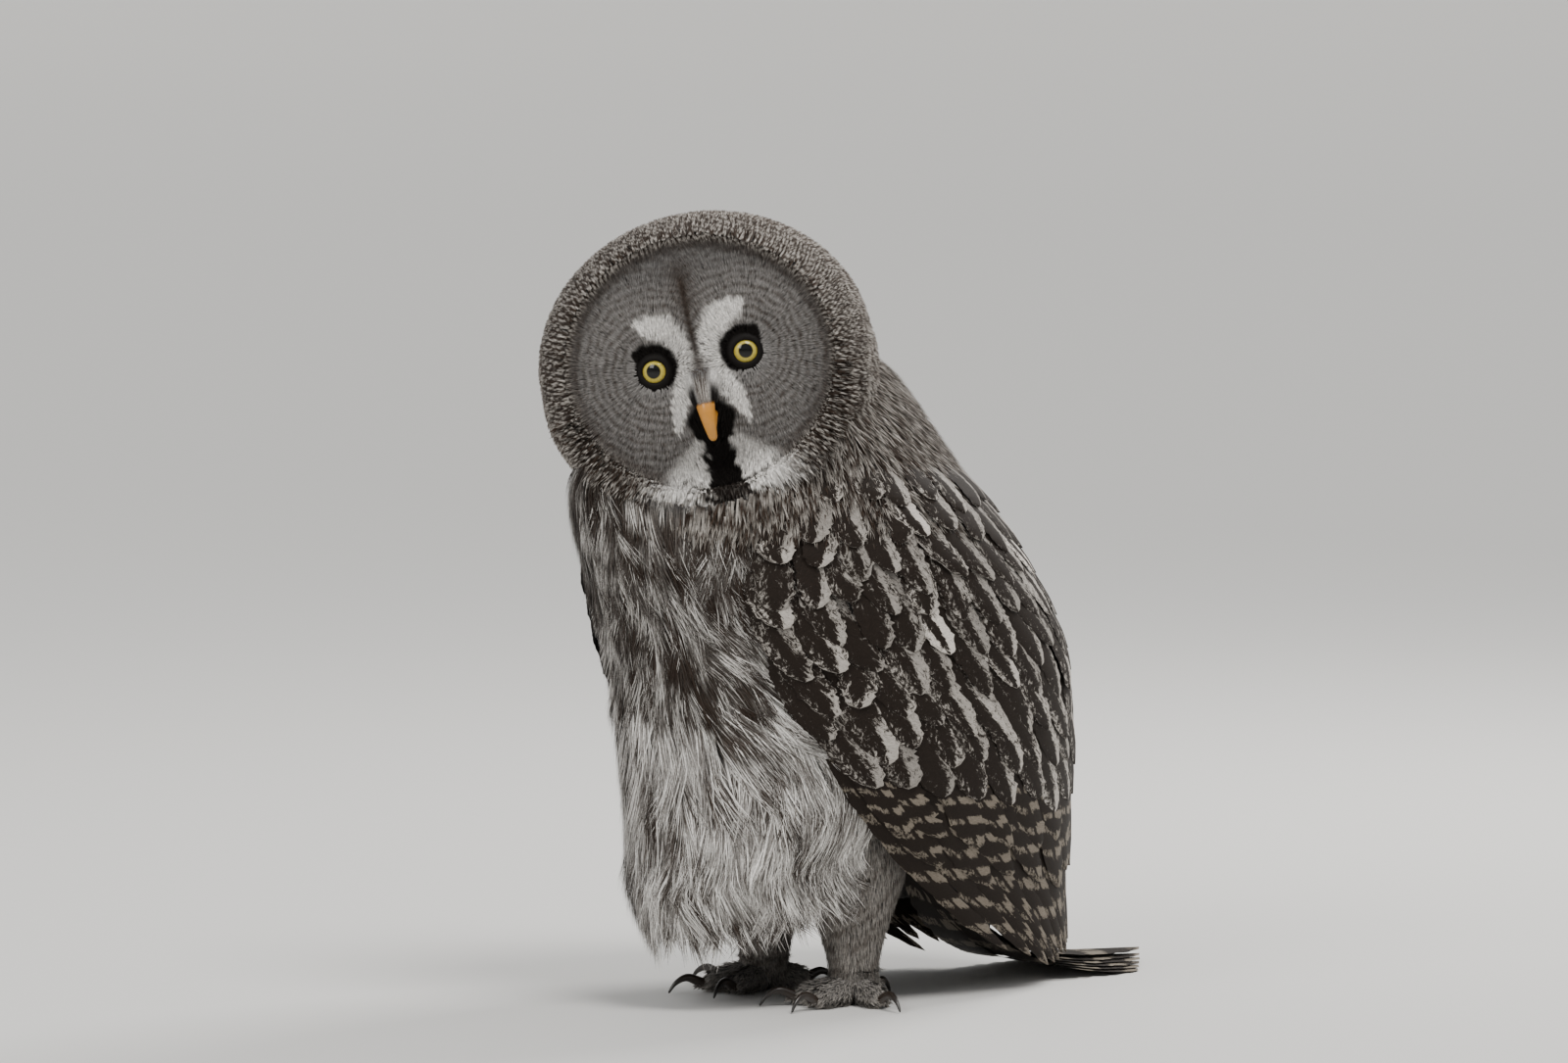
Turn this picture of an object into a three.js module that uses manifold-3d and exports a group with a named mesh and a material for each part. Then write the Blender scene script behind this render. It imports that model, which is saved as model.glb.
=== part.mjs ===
import * as THREE from "three";
import { mergeVertices } from "three/addons/utils/BufferGeometryUtils.js";
import Module from "manifold-3d";

// A great grey owl, life size, standing on level ground with its head turned to its left.
// Millimetres, +Z up, the ground at Z 0. The breast faces -Y and the bird's left is +X.

// Driving sizes
const CLEARANCE = 0.35; // gap between parts that touch
const HEAD_CENTRE = new THREE.Vector3(0, -95, 421);
const HEAD_TURN = 46.5; // degrees, towards the bird's left
const HEAD_NOD = -1;
const HEAD_ROLL = 13;
const HEAD_HALF_WIDTH = 108;
const HEAD_HALF_HEIGHT = 95;
const HEAD_BACK_DEPTH = 86;
const HEAD_FRONT_DEPTH = 97;
const JOWL = 0.07; // how much the lower corners of the head are fuller than an ellipse
const DISC_HALF_WIDTH = 91;
const DISC_HALF_HEIGHT = 84;
const DISC_FORWARD = 66; // from the head's centre to the plane of the face
const EYE_SPREAD = 28.6;
const EYE_RADIUS = 12.6;
const EYE_DEPTH = 45.5;
const NECK_CUT_Z = 362;
const BELLY_Z = 62;
const TORSO_TOP_Z = 438;
const BELLY_RISE = 0.24; // the belly's underside rises towards the tail
const BELLY_RISE_FROM_Y = -112;
const BELLY_RISE_BELOW_Z = 180;
const WING_THICKNESS = 9;
const WING_TOP_Z = 362;
const LEG_SPREAD = 46;
const LEG_Y = -8;
const ANKLE_Z = 22;
const THIGH_TOP_Z = 165;
const TAIL_FEATHERS = 12;
const TAIL_FEATHER_HALF_WIDTH = 21;
const FEATHER_THICKNESS = 0.9;

// Level slices of the torso: height, centre y, half width, depth to the breast, depth to the back
const TORSO = [
  [62, -52, 34, 58, 30],
  [75, -38, 66, 102, 56],
  [95, -26, 84, 113, 82],
  [125, -16, 97, 123, 150],
  [160, -10, 106, 131, 172],
  [200, -8, 112, 138, 176],
  [240, -12, 115, 143, 166],
  [280, -18, 114, 151, 148],
  [320, -26, 110, 156, 130],
  [350, -38, 103, 148, 122],
  [380, -52, 92, 112, 118],
  [410, -74, 74, 56, 121],
  [438, -86, 52, 28, 90],
];

// Level slices of the wings' outer side, in the same terms
const WINGS = [
  [0, 110, 68, 40, 92],
  [20, 90, 76, 56, 110],
  [70, 44, 95, 90, 152],
  [120, 18, 112, 125, 176],
  [170, 10, 124, 150, 180],
  [220, 4, 130, 158, 178],
  [260, -4, 131, 160, 164],
  [300, -12, 126, 158, 142],
  [340, -26, 113, 138, 122],
  [372, -42, 94, 112, 104],
];

// Where the wing's front edge lies: height, degrees round from the breast
const WING_FRONT = [
  [0, 112],
  [20, 96],
  [70, 76],
  [120, 62],
  [170, 50],
  [220, 41],
  [260, 37],
  [300, 39],
  [340, 47],
  [372, 62],
];
const WING_BACK = 179.2;

const wasm = await Module();
wasm.setup();
const { clamp, degToRad, lerp, smoothstep } = THREE.MathUtils;

// A row of a table of slices at height z, on a smooth curve through its rows
function slice(table, z) {
  const last = table.length - 1;
  let k = 0;
  while (k < last - 1 && z > table[k + 1][0]) k += 1;
  const [low, high] = [table[k], table[k + 1]];
  const [under, over] = [table[Math.max(k - 1, 0)], table[Math.min(k + 2, last)]];
  const span = high[0] - low[0];
  const t = clamp((z - low[0]) / span, 0, 1);
  return low.map((value, i) => {
    const slopeLow = ((high[i] - under[i]) / (high[0] - under[0])) * span;
    const slopeHigh = ((over[i] - value) / (over[0] - low[0])) * span;
    const t2 = t * t;
    const t3 = t2 * t;
    return (
      (2 * t3 - 3 * t2 + 1) * value +
      (t3 - 2 * t2 + t) * slopeLow +
      (3 * t2 - 2 * t3) * high[i] +
      (t3 - t2) * slopeHigh
    );
  });
}

// Closed surfaces

// Joins points into one closed geometry that faces outwards, without collapsed triangles
function closed(points, triangles) {
  const raw = new THREE.BufferGeometry().setFromPoints(points).setIndex(triangles);
  const merged = mergeVertices(raw, 1e-4);
  const position = merged.attributes.position;
  const corners = Array.from({ length: position.count }, (_, i) =>
    new THREE.Vector3().fromBufferAttribute(position, i),
  );
  const kept = [];
  let volume = 0;
  for (let i = 0; i < merged.index.count; i += 3) {
    const [a, b, c] = [0, 1, 2].map((k) => merged.index.getX(i + k));
    if (a === b || b === c || c === a) continue;
    kept.push([a, b, c]);
    volume += corners[a].dot(new THREE.Vector3().crossVectors(corners[b], corners[c]));
  }
  const outward = volume > 0 ? kept : kept.map(([a, b, c]) => [a, c, b]);
  return new THREE.BufferGeometry().setFromPoints(corners).setIndex(outward.flat());
}

// Rings of points from one end to the other; at(i, j) is point j of ring i, and both end rings are single points
function loft(rings, around, at) {
  const points = [];
  const triangles = [];
  for (let i = 0; i <= rings; i += 1)
    for (let j = 0; j < around; j += 1) points.push(at(i, i === 0 || i === rings ? 0 : j));
  for (let i = 0; i < rings; i += 1)
    for (let j = 0; j < around; j += 1) {
      const next = (j + 1) % around;
      const [a, b] = [i * around + j, i * around + next];
      const [c, d] = [a + around, b + around];
      triangles.push(a, b, d, a, d, c);
    }
  return closed(points, triangles);
}

// A plate with an outer and an inner face, each a grid of rows and columns split alike
function plate(rows, columns, outer, inner) {
  const wide = columns + 1;
  const count = (rows + 1) * wide;
  const points = [];
  for (const face of [outer, inner])
    for (let i = 0; i <= rows; i += 1) for (let j = 0; j <= columns; j += 1) points.push(face(i, j));
  const triangles = [];
  const quad = (a, b, c, d) => triangles.push(a, b, c, a, c, d);
  for (let i = 0; i < rows; i += 1)
    for (let j = 0; j < columns; j += 1) {
      const a = i * wide + j;
      const [b, c, d] = [a + 1, a + wide + 1, a + wide];
      triangles.push(a, b, c, a, c, d);
      triangles.push(a + count, c + count, b + count, a + count, d + count, c + count);
    }
  for (let i = 0; i < rows; i += 1) {
    const [left, right] = [i * wide, i * wide + columns];
    quad(left, left + wide, left + wide + count, left + count);
    quad(right, right + count, right + wide + count, right + wide);
  }
  for (let j = 0; j < columns; j += 1) {
    const [root, tip] = [j, rows * wide + j];
    quad(root, root + count, root + 1 + count, root + 1);
    quad(tip, tip + 1, tip + 1 + count, tip + count);
  }
  return closed(points, triangles);
}

// Solids

function solid(geometry) {
  return new wasm.Manifold(
    new wasm.Mesh({
      numProp: 3,
      vertProperties: new Float32Array(geometry.attributes.position.array),
      triVerts: new Uint32Array(geometry.index.array),
    }),
  );
}

function union(solids) {
  return solids.reduce((all, one) => all.add(one));
}

function cutBy(body, tools) {
  return tools.reduce((left, tool) => left.subtract(tool), body);
}

function largest(body) {
  const pieces = body.decompose();
  return pieces.reduce((best, one) => (one.volume() > best.volume() ? one : best));
}

const owl = new THREE.Group();

function addPart(name, body, look) {
  const { vertProperties, triVerts } = largest(body).getMesh();
  const geometry = new THREE.BufferGeometry()
    .setAttribute("position", new THREE.BufferAttribute(vertProperties, 3))
    .setIndex(new THREE.BufferAttribute(triVerts, 1));
  const mesh = new THREE.Mesh(geometry, look);
  mesh.name = name;
  owl.add(mesh);
}

function block(width, depth, height, x, y, z) {
  const box = new THREE.BoxGeometry(width, depth, height);
  box.deleteAttribute("normal");
  box.deleteAttribute("uv");
  return solid(mergeVertices(box).translate(x, y, z));
}

function ball(radius, centre, rings = 10, around = 16) {
  return solid(
    loft(rings, around, (i, j) => {
      const polar = (Math.PI * i) / rings;
      const turn = (2 * Math.PI * j) / around;
      return new THREE.Vector3(
        Math.sin(polar) * Math.cos(turn),
        Math.sin(polar) * Math.sin(turn),
        Math.cos(polar),
      )
        .multiplyScalar(radius)
        .add(centre);
    }),
  );
}

// A rounded rod along a curve; size(t) gives its half width and half height, never below floor
function rod(curve, sideways, size, rings, around, floor = -Infinity) {
  const across = new THREE.Vector3(...sideways).normalize();
  return solid(
    loft(rings, around, (i, j) => {
      const t = i / rings;
      const centre = curve.getPoint(t);
      const up = new THREE.Vector3().crossVectors(across, curve.getTangent(t)).normalize();
      const [wide, high] = i === 0 || i === rings ? [0, 0] : size(t);
      const turn = (2 * Math.PI * j) / around;
      const point = centre
        .addScaledVector(across, wide * Math.cos(turn))
        .addScaledVector(up, high * Math.sin(turn));
      point.z = Math.max(point.z, floor);
      return point;
    }),
  );
}

// Feathers and locks

const random = seeded(7);

function seeded(seed) {
  let state = seed;
  return () => {
    state = (state * 1664525 + 1013904223) % 4294967296;
    return state / 4294967296;
  };
}

function jitter(amount) {
  return (random() * 2 - 1) * amount;
}

// Outline of a feather: how far along it a row lies, and its share of the full width there
const BROAD = [
  [0, 0.7],
  [0.45, 1],
  [0.86, 0.86],
  [1, 0],
];
const POINTED = [
  [0, 0.75],
  [0.4, 1],
  [0.75, 0.82],
  [1, 0],
];
const LOCK = [
  [0, 0.7],
  [0.4, 1],
  [0.78, 0.62],
  [1, 0],
];

// A thin feather on a surface. at(t, offset, lift) is the point a share t along it, offset
// sideways and lifted off the surface, in millimetres; rise(t) lifts its middle line.
function feather(outline, halfWidth, at, rise, tilt, thickness, columns = 2) {
  const rows = outline.length - 1;
  const place = (i, j, drop) => {
    const [t, share] = outline[i];
    const sideways = i === rows ? 0 : (2 * j) / columns - 1;
    const camber = 0.5 * (1 - sideways * sideways);
    const lift = rise(t) + camber + tilt * sideways - drop * lerp(1, 0.6, t);
    return at(t, halfWidth * share * sideways, lift);
  };
  return solid(
    plate(
      rows,
      columns,
      (i, j) => place(i, j, 0),
      (i, j) => place(i, j, thickness),
    ),
  );
}

// Surfaces of the body

function sliceOutline(table, z, angle, grow) {
  const [, y, halfWidth, front, back] = slice(table, z);
  const depth = Math.cos(angle) > 0 ? front : back;
  return new THREE.Vector3(
    (halfWidth + grow) * Math.sin(angle),
    y - (depth + grow) * Math.cos(angle),
    z,
  );
}

function torsoPoint(z, angle, grow = 0) {
  const point = sliceOutline(TORSO, z, angle, grow);
  const low = 1 - smoothstep(z, BELLY_Z, BELLY_RISE_BELOW_Z);
  point.z += low * BELLY_RISE * (point.y - BELLY_RISE_FROM_Y);
  return point;
}

function torsoSolid(grow) {
  const rings = 14;
  const around = 26;
  return solid(
    loft(rings, around, (i, j) => {
      const rise = (i - 1) / (rings - 2);
      const z = lerp(BELLY_Z, TORSO_TOP_Z, clamp(rise, 0, 1));
      if (i > 0 && i < rings) return torsoPoint(z, (2 * Math.PI * j) / around, grow);
      const [, y] = slice(TORSO, z);
      const end = i === 0 ? -8 - grow : 8 + grow;
      return new THREE.Vector3(0, y, z + end);
    }),
  );
}

// The head's own frame: x to the bird's left, -y to the face, z up
const headFrame = new THREE.Matrix4()
  .makeTranslation(HEAD_CENTRE.x, HEAD_CENTRE.y, HEAD_CENTRE.z)
  .multiply(new THREE.Matrix4().makeRotationZ(degToRad(HEAD_TURN)))
  .multiply(new THREE.Matrix4().makeRotationX(degToRad(HEAD_NOD)))
  .multiply(new THREE.Matrix4().makeRotationY(degToRad(-HEAD_ROLL)));

// The face's two shallow dishes round the eyes, the ridge between them and the raised rim
function faceY(x, z, share) {
  const bowl = 0.0021 * x * x + 0.0013 * z * z;
  const eyeX = Math.abs(x) - EYE_SPREAD;
  const dish = 9 * Math.exp(-(eyeX * eyeX + z * z) / (30 * 30));
  const ridge = 9 * Math.exp(-(x * x) / (13 * 13)) * (1 - smoothstep(Math.abs(z + 8), 30, 62));
  const rim = 5 * Math.exp(-(((share - 0.96) / 0.07) ** 2));
  return -DISC_FORWARD + bowl + dish - ridge - rim;
}

function headPoint(ring, turn, faceRings, backRings) {
  const [right, up] = [Math.sin(turn), Math.cos(turn)];
  if (ring <= faceRings) {
    const share = ring / faceRings;
    const x = DISC_HALF_WIDTH * share * right;
    const z = DISC_HALF_HEIGHT * share * up;
    return new THREE.Vector3(x, faceY(x, z, share), z);
  }
  const rimX = DISC_HALF_WIDTH * right;
  const rimZ = DISC_HALF_HEIGHT * up;
  const wide = Math.hypot(HEAD_HALF_WIDTH * right, HEAD_HALF_HEIGHT * up);
  const start = Math.asin(Math.hypot(rimX, rimZ) / wide);
  const t = (ring - faceRings) / backRings;
  const polar = lerp(start, Math.PI, t);
  const forward = -HEAD_FRONT_DEPTH * Math.cos(start);
  const step = faceY(rimX, rimZ, 1) - forward;
  const depth = Math.cos(polar) > 0 ? HEAD_FRONT_DEPTH : HEAD_BACK_DEPTH;
  const y = -depth * Math.cos(polar) + step * (1 - t) ** 4;
  const full = 1 + JOWL * 2 * Math.abs(right) * Math.max(0, -up) * (1 - (2 * t - 1) ** 4);
  const reach = Math.sin(polar) * full;
  return new THREE.Vector3(HEAD_HALF_WIDTH * reach * right, y, HEAD_HALF_HEIGHT * reach * up);
}

function headSolid(grow) {
  const [faceRings, backRings, around] = [7, 7, 28];
  const shape = loft(faceRings + backRings, around, (i, j) =>
    headPoint(i, (2 * Math.PI * j) / around, faceRings, backRings),
  );
  const larger = 1 + grow / DISC_FORWARD;
  return solid(shape.scale(larger, larger, larger).applyMatrix4(headFrame));
}

function wingSurface(side, across, z, lift) {
  const at = (share, height) => {
    const [, front] = slice(WING_FRONT, height);
    const point = sliceOutline(WINGS, height, degToRad(lerp(front, WING_BACK, share)), 0);
    return point.setX(side * point.x);
  };
  const step = 0.01;
  const point = at(across, z);
  const alongTurn = at(across + step, z).sub(at(across - step, z));
  const alongRise = at(across, z + 1).sub(at(across, z - 1));
  const normal = alongTurn.cross(alongRise).normalize().multiplyScalar(side);
  return { point: point.addScaledVector(normal, lift), normal };
}

// Looks
function look(colour, roughness = 0.9) {
  return new THREE.MeshStandardMaterial({ color: colour, roughness, metalness: 0 });
}
const greyFeathers = look("#8b857d");
const paleFeathers = look("#a9a199");
const darkFeathers = look("#4d433c");
const footFeathers = look("#a39b90");
const amber = look("#d9b93a", 0.1);
const horn = look("#d08a2c", 0.45);
const clawHorn = look("#211d1b", 0.35);

// Parts

const torsoTool = torsoSolid(CLEARANCE);
const wholeTorso = torsoSolid(0);
const above = block(600, 600, 300, 0, 0, NECK_CUT_Z + 150 + CLEARANCE / 2);
const below = block(600, 600, 600, 0, 0, NECK_CUT_Z - 300 - CLEARANCE / 2);

function inHead(x, y, z) {
  return new THREE.Vector3(x, y, z).applyMatrix4(headFrame);
}

function eyeCentre(side) {
  return inHead(side * EYE_SPREAD, -EYE_DEPTH, 1);
}

function lid(side) {
  const ring = new THREE.TorusGeometry(10.2, 2.2, 6, 16);
  ring.deleteAttribute("normal");
  ring.deleteAttribute("uv");
  const placed = mergeVertices(ring)
    .rotateX(Math.PI / 2)
    .rotateZ(degToRad(side * 12))
    .translate(side * (EYE_SPREAD + 1.6), -EYE_DEPTH - 8.2, 1)
    .applyMatrix4(headFrame);
  return solid(placed);
}

function billCurve(points) {
  return new THREE.CatmullRomCurve3(points.map(([y, z]) => inHead(0, y, z)));
}

const headSideways = new THREE.Vector3(1, 0, 0).transformDirection(headFrame).toArray();
const upperCurve = billCurve([
  [-52, -13],
  [-77, -16],
  [-90, -25],
  [-93, -38],
  [-88, -50],
]);
const lowerCurve = billCurve([
  [-52, -31],
  [-71, -34],
  [-82, -42],
]);

function upperBill(grow) {
  const size = (t) => [lerp(9, 2.2, t ** 1.3) + grow, lerp(9, 2.3, t) + grow];
  return rod(upperCurve, headSideways, size, 10, 10);
}

function lowerBill(grow) {
  const size = (t) => [lerp(7, 3, t) + grow, lerp(4, 2.1, t) + grow];
  return rod(lowerCurve, headSideways, size, 6, 10);
}

// The breast feathers part round the lower face: room in front of it, wider away from it
function faceRoom() {
  const depth = 80;
  const room = new THREE.CylinderGeometry(1, 1.3, depth, 24);
  room.deleteAttribute("normal");
  room.deleteAttribute("uv");
  const placed = mergeVertices(room)
    .scale(DISC_HALF_WIDTH + 1, 1, DISC_HALF_HEIGHT + 1)
    .translate(0, -58 - depth / 2, 0)
    .applyMatrix4(headFrame);
  return solid(placed);
}

const eyeRoom = [1, -1].map((side) => ball(EYE_RADIUS + CLEARANCE, eyeCentre(side)));
const billRoom = [upperBill(CLEARANCE), lowerBill(CLEARANCE)];
const headTool = union([headSolid(CLEARANCE), faceRoom(), ...eyeRoom, ...billRoom]);

// The ruff: short stiff feathers side by side round the rim of the face
const RUFF_FEATHERS = 24;
const RUFF_OUTLINE = [
  [0, 0.85],
  [0.75, 1],
  [1, 0],
];

function ruff() {
  const blades = [];
  for (let k = 0; k < RUFF_FEATHERS; k += 1) {
    const turn = (2 * Math.PI * (k + 0.5)) / RUFF_FEATHERS;
    const [faceRings, backRings] = [7, 7];
    const at = (t, offset, lift) => {
      const here = turn + offset / 92;
      const from = headPoint(faceRings, here, faceRings, backRings);
      const to = headPoint(faceRings + 1.7, here, faceRings, backRings);
      const outward = new THREE.Vector3(Math.sin(here), -0.15, Math.cos(here));
      return from.lerp(to, t).addScaledVector(outward, lift);
    };
    const rise = (t) => lerp(-1.8, 2.4 + jitter(0.2), t);
    blades.push(feather(RUFF_OUTLINE, 13.2, at, rise, 0.6, 1.2, 1));
  }
  const collar = torsoTool.subtract(headSolid(0));
  return cutBy(union(blades).transform(headFrame.elements), [collar]);
}

function addHead() {
  const rims = [1, -1].map(lid);
  const body = union([headSolid(0), ...rims, ruff()]);
  addPart("head", cutBy(body, [...eyeRoom, ...billRoom]), greyFeathers);
  addPart("eye_left", ball(EYE_RADIUS, eyeCentre(1)), amber);
  addPart("eye_right", ball(EYE_RADIUS, eyeCentre(-1)), amber);
  const nostrils = [1, -1].map((side) => ball(1.7, inHead(side * 6.8, -83.5, -21.5), 5, 8));
  addPart("bill_upper", cutBy(upperBill(0), nostrils), horn);
  addPart("bill_lower", cutBy(lowerBill(0), [upperBill(CLEARANCE)]), horn);
}

// Rows of long soft feathers down the breast and belly: root height, tip height, count
const BREAST_ROWS = [
  [334, 260, 5],
  [282, 206, 5],
  [228, 150, 6],
  [172, 94, 7],
  [116, 53, 9],
];
const HEM_Z = 84; // below this the locks hang clear of the belly

function coatPoint(z, angle, lift) {
  const point = torsoPoint(Math.max(z, HEM_Z), angle, lift);
  const hang = Math.max(0, HEM_Z - z);
  point.z -= hang;
  point.x *= 1 - 0.004 * hang;
  point.y += 0.35 * hang;
  return point;
}

function breastLocks() {
  const locks = [];
  for (const [root, tip, count] of BREAST_ROWS)
    for (let k = 0; k < count; k += 1) {
      const edge = slice(WING_FRONT, (root + tip) / 2)[1] - 7;
      const angle = degToRad(edge * ((2 * (k + 0.5)) / count - 1) + jitter(2));
      const low = tip + jitter(5);
      const bend = jitter(0.05);
      const at = (t, offset, lift) => {
        const z = lerp(root, low, t);
        const here = angle + bend * t * t;
        const [near, far] = [-0.01, 0.01].map((d) => coatPoint(z, here + d, 0));
        return coatPoint(z, here + offset / (near.distanceTo(far) / 0.02), lift);
      };
      const half = Math.min(18, (degToRad(edge) * 150) / count + 3);
      const rise = (t) => lerp(-2.4, 3.4 + jitter(0.1), t ** 0.8);
      locks.push(feather(LOCK, half, at, rise, 0.9, 1.1, 1));
    }
  return locks;
}

function addTorso() {
  const wingRoom = [1, -1].map((side) => wingCore(side, 20, 8, 1, 0.03));
  const legs = [1, -1].map((side) => legSolid(side, CLEARANCE));
  const locks = cutBy(union(breastLocks()), [...wingRoom, ...legs, headTool]);
  const body = cutBy(wholeTorso.intersect(below), [headTool]);
  addPart("neck", cutBy(wholeTorso.intersect(above), [headTool]), greyFeathers);
  addPart("torso", union([body, locks]).intersect(below), paleFeathers);
}

// Tiers of a wing, lowest first: tip heights from the front of the wing to the back, share of
// the wing's breadth at root and at tip, root height, half width, lift at the tip, outline
const WING_TIERS = [
  {
    tips: [32, 18, 12, 20, 24, 25, 28, 36],
    roots: 168,
    from: [0.07, 0.95],
    to: [0.1, 0.93],
    half: 15,
    lift: 1.2,
    shape: POINTED,
    sunk: -4,
  },
  {
    tips: [90, 80, 72, 72, 76, 82],
    roots: 186,
    from: [0.06, 0.92],
    to: [0.08, 0.92],
    half: 19,
    lift: 3,
    shape: BROAD,
    sunk: -3,
  },
  {
    tips: [142, 134, 126, 120, 118, 118],
    roots: 214,
    from: [0.06, 0.92],
    to: [0.08, 0.92],
    half: 20.5,
    lift: 3.6,
    shape: BROAD,
    sunk: -2.5,
  },
  {
    tips: [188, 180, 172, 165, 162, 162],
    roots: 252,
    from: [0.06, 0.93],
    to: [0.07, 0.93],
    half: 21.5,
    lift: 4,
    shape: BROAD,
    sunk: -2.5,
  },
  {
    tips: [234, 226, 216, 208, 204, 206],
    roots: 292,
    from: [0.07, 0.93],
    to: [0.08, 0.93],
    half: 21.5,
    lift: 4.2,
    shape: BROAD,
    sunk: -2.5,
  },
  {
    tips: [282, 276, 268, 260, 256, 258],
    roots: 334,
    from: [0.09, 0.92],
    to: [0.09, 0.92],
    half: 21,
    lift: 4,
    shape: BROAD,
    sunk: -2.5,
  },
];
const WING_CORE_FLOOR = 112;

function wingFeathers(side) {
  const feathers = [];
  for (const tier of WING_TIERS)
    tier.tips.forEach((tip, k) => {
      const order = k / (tier.tips.length - 1);
      const [rootAcross, tipAcross] = [lerp(...tier.from, order), lerp(...tier.to, order)];
      const tipZ = tip + jitter(2);
      const sway = jitter(0.008);
      const lift = tier.lift + jitter(0.15);
      const at = (t, offset, up) => {
        const z = lerp(tier.roots, tipZ, t);
        const across = lerp(rootAcross, tipAcross + sway, t);
        const [near, far] = [-0.01, 0.01].map((d) => wingSurface(side, across + d, z, 0).point);
        const scale = near.distanceTo(far) / 0.02;
        return wingSurface(side, across + offset / scale, z, up).point;
      };
      const rise = (t) => lerp(tier.sunk, lift, Math.min(1, t * 1.25) ** 0.8);
      feathers.push(feather(tier.shape, tier.half, at, rise, 0.95, FEATHER_THICKNESS));
    });
  return feathers;
}

function wingCore(side, low, outside, inside, reach) {
  const [rows, columns] = [10, 9];
  const at = (i, j, lift) =>
    wingSurface(
      side,
      lerp(-reach, 1 + reach, j / columns),
      lerp(WING_TOP_Z, low, i / rows),
      lift,
    ).point;
  const thin = (i) => lerp(1, 0.45, smoothstep(i / rows, 0.55, 1));
  return solid(
    plate(
      rows,
      columns,
      (i, j) => at(i, j, outside),
      (i, j) => at(i, j, -WING_THICKNESS * thin(i) - inside),
    ),
  );
}

function addWing(side, name) {
  const half = block(300, 800, 800, side * (150 + CLEARANCE), 0, 300);
  const body = union([wingCore(side, WING_CORE_FLOOR, 0, 0, 0), ...wingFeathers(side)]);
  addPart(name, cutBy(body.intersect(half), [torsoTool, headTool]), darkFeathers);
}

// The tail: long feathers side by side, the middle pair on top, that bend to lie on the ground
const tailCurve = new THREE.CubicBezierCurve3(
  new THREE.Vector3(0, 66, 176),
  new THREE.Vector3(0, 96, 22),
  new THREE.Vector3(0, 150, 9.2),
  new THREE.Vector3(0, 284, 9.2),
);

function tailPoint(t, x, up) {
  const centre = tailCurve.getPoint(t);
  const along = tailCurve.getTangent(t);
  const point = new THREE.Vector3(x, centre.y - up * along.z, centre.z + up * along.y);
  point.z = Math.max(point.z, 0);
  return point;
}

function tailFeather(order, side, level) {
  const length = 1 - 0.02 * order;
  const spread = side * (3 + 9.4 * order);
  const at = (t, offset, lift) => {
    const along = lerp(0.12, length, t);
    const x = spread * along ** 1.5 + offset * lerp(0.75, 1, along);
    return tailPoint(along, x, lift);
  };
  const drop = () => -1.42 * level;
  return feather(BROAD, TAIL_FEATHER_HALF_WIDTH, at, drop, 0, FEATHER_THICKNESS);
}

function addTail() {
  const [rows, columns] = [7, 4];
  const top = (i, j) => {
    const t = (0.7 * i) / rows;
    const wide = lerp(16, 40, t / 0.7) * (j / columns - 0.5) * 2;
    return [t, wide, lerp(1, 0, t)];
  };
  const core = solid(
    plate(
      rows,
      columns,
      (i, j) => {
        const [t, x, up] = top(i, j);
        return tailPoint(t, x, up - 0.4);
      },
      (i, j) => {
        const [t, x] = top(i, j);
        return tailPoint(t, x, -9.3);
      },
    ),
  );
  const feathers = [];
  for (let k = 0; k < TAIL_FEATHERS / 2; k += 1)
    for (const side of [1, -1]) {
      const level = k === 0 ? (1 - side) / 2 : k + 1;
      feathers.push(tailFeather(k, side, level));
    }
  addPart("tail", cutBy(union([core, ...feathers]), [torsoTool]), darkFeathers);
}

const TOES = [
  // degrees from straight ahead towards the outside, and reach from the ankle
  ["inner", -20, 44],
  ["middle", 14, 48],
  ["outer", 78, 40],
  ["hind", -158, 32],
];

function toeCurve(side, degrees, reach) {
  const angle = degToRad(degrees);
  const along = new THREE.Vector3(side * Math.sin(angle), -Math.cos(angle), 0);
  const ankle = new THREE.Vector3(side * LEG_SPREAD, LEG_Y, 11);
  return {
    along,
    curve: new THREE.CatmullRomCurve3([
      ankle.clone(),
      ankle.clone().addScaledVector(along, reach * 0.45).setZ(7.5),
      ankle.clone().addScaledVector(along, reach).setZ(5.5),
    ]),
    across: new THREE.Vector3(-along.y, along.x, 0).toArray(),
  };
}

function footSolid(side, grow) {
  const toes = TOES.map(([, degrees, reach]) => {
    const { curve, across } = toeCurve(side, degrees, reach);
    const size = (t) => [lerp(11, 6.8, t) + grow, lerp(12, 7.4, t) + grow];
    return rod(curve, across, size, 5, 8, -grow);
  });
  const heel = ball(15 + grow, new THREE.Vector3(side * LEG_SPREAD, LEG_Y, ANKLE_Z));
  const ground = block(200, 200, 40, side * LEG_SPREAD, 0, -20 - grow);
  return cutBy(union([...toes, heel]), [ground]);
}

function addFoot(side, name) {
  const top = block(200, 200, 200, side * LEG_SPREAD, 0, ANKLE_Z + 100 - CLEARANCE);
  addPart(`foot_${name}`, cutBy(footSolid(side, 0), [top]), footFeathers);
  for (const [toe, degrees, reach] of TOES) {
    const { curve, along, across } = toeCurve(side, degrees, reach);
    const root = curve.getPoint(1);
    const length = toe === "hind" ? 19 : 22;
    const arc = new THREE.CatmullRomCurve3([
      root.clone().addScaledVector(along, -4),
      root.clone().addScaledVector(along, length * 0.35).setZ(10.5),
      root.clone().addScaledVector(along, length * 0.75).setZ(7.5),
      root.clone().addScaledVector(along, length).setZ(0.8),
    ]);
    const claw = rod(arc, across, (t) => [lerp(3.6, 0.5, t), lerp(4, 0.6, t)], 6, 7, 0);
    addPart(`claw_${name}_${toe}`, cutBy(claw, [footSolid(side, CLEARANCE)]), clawHorn);
  }
}

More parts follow.
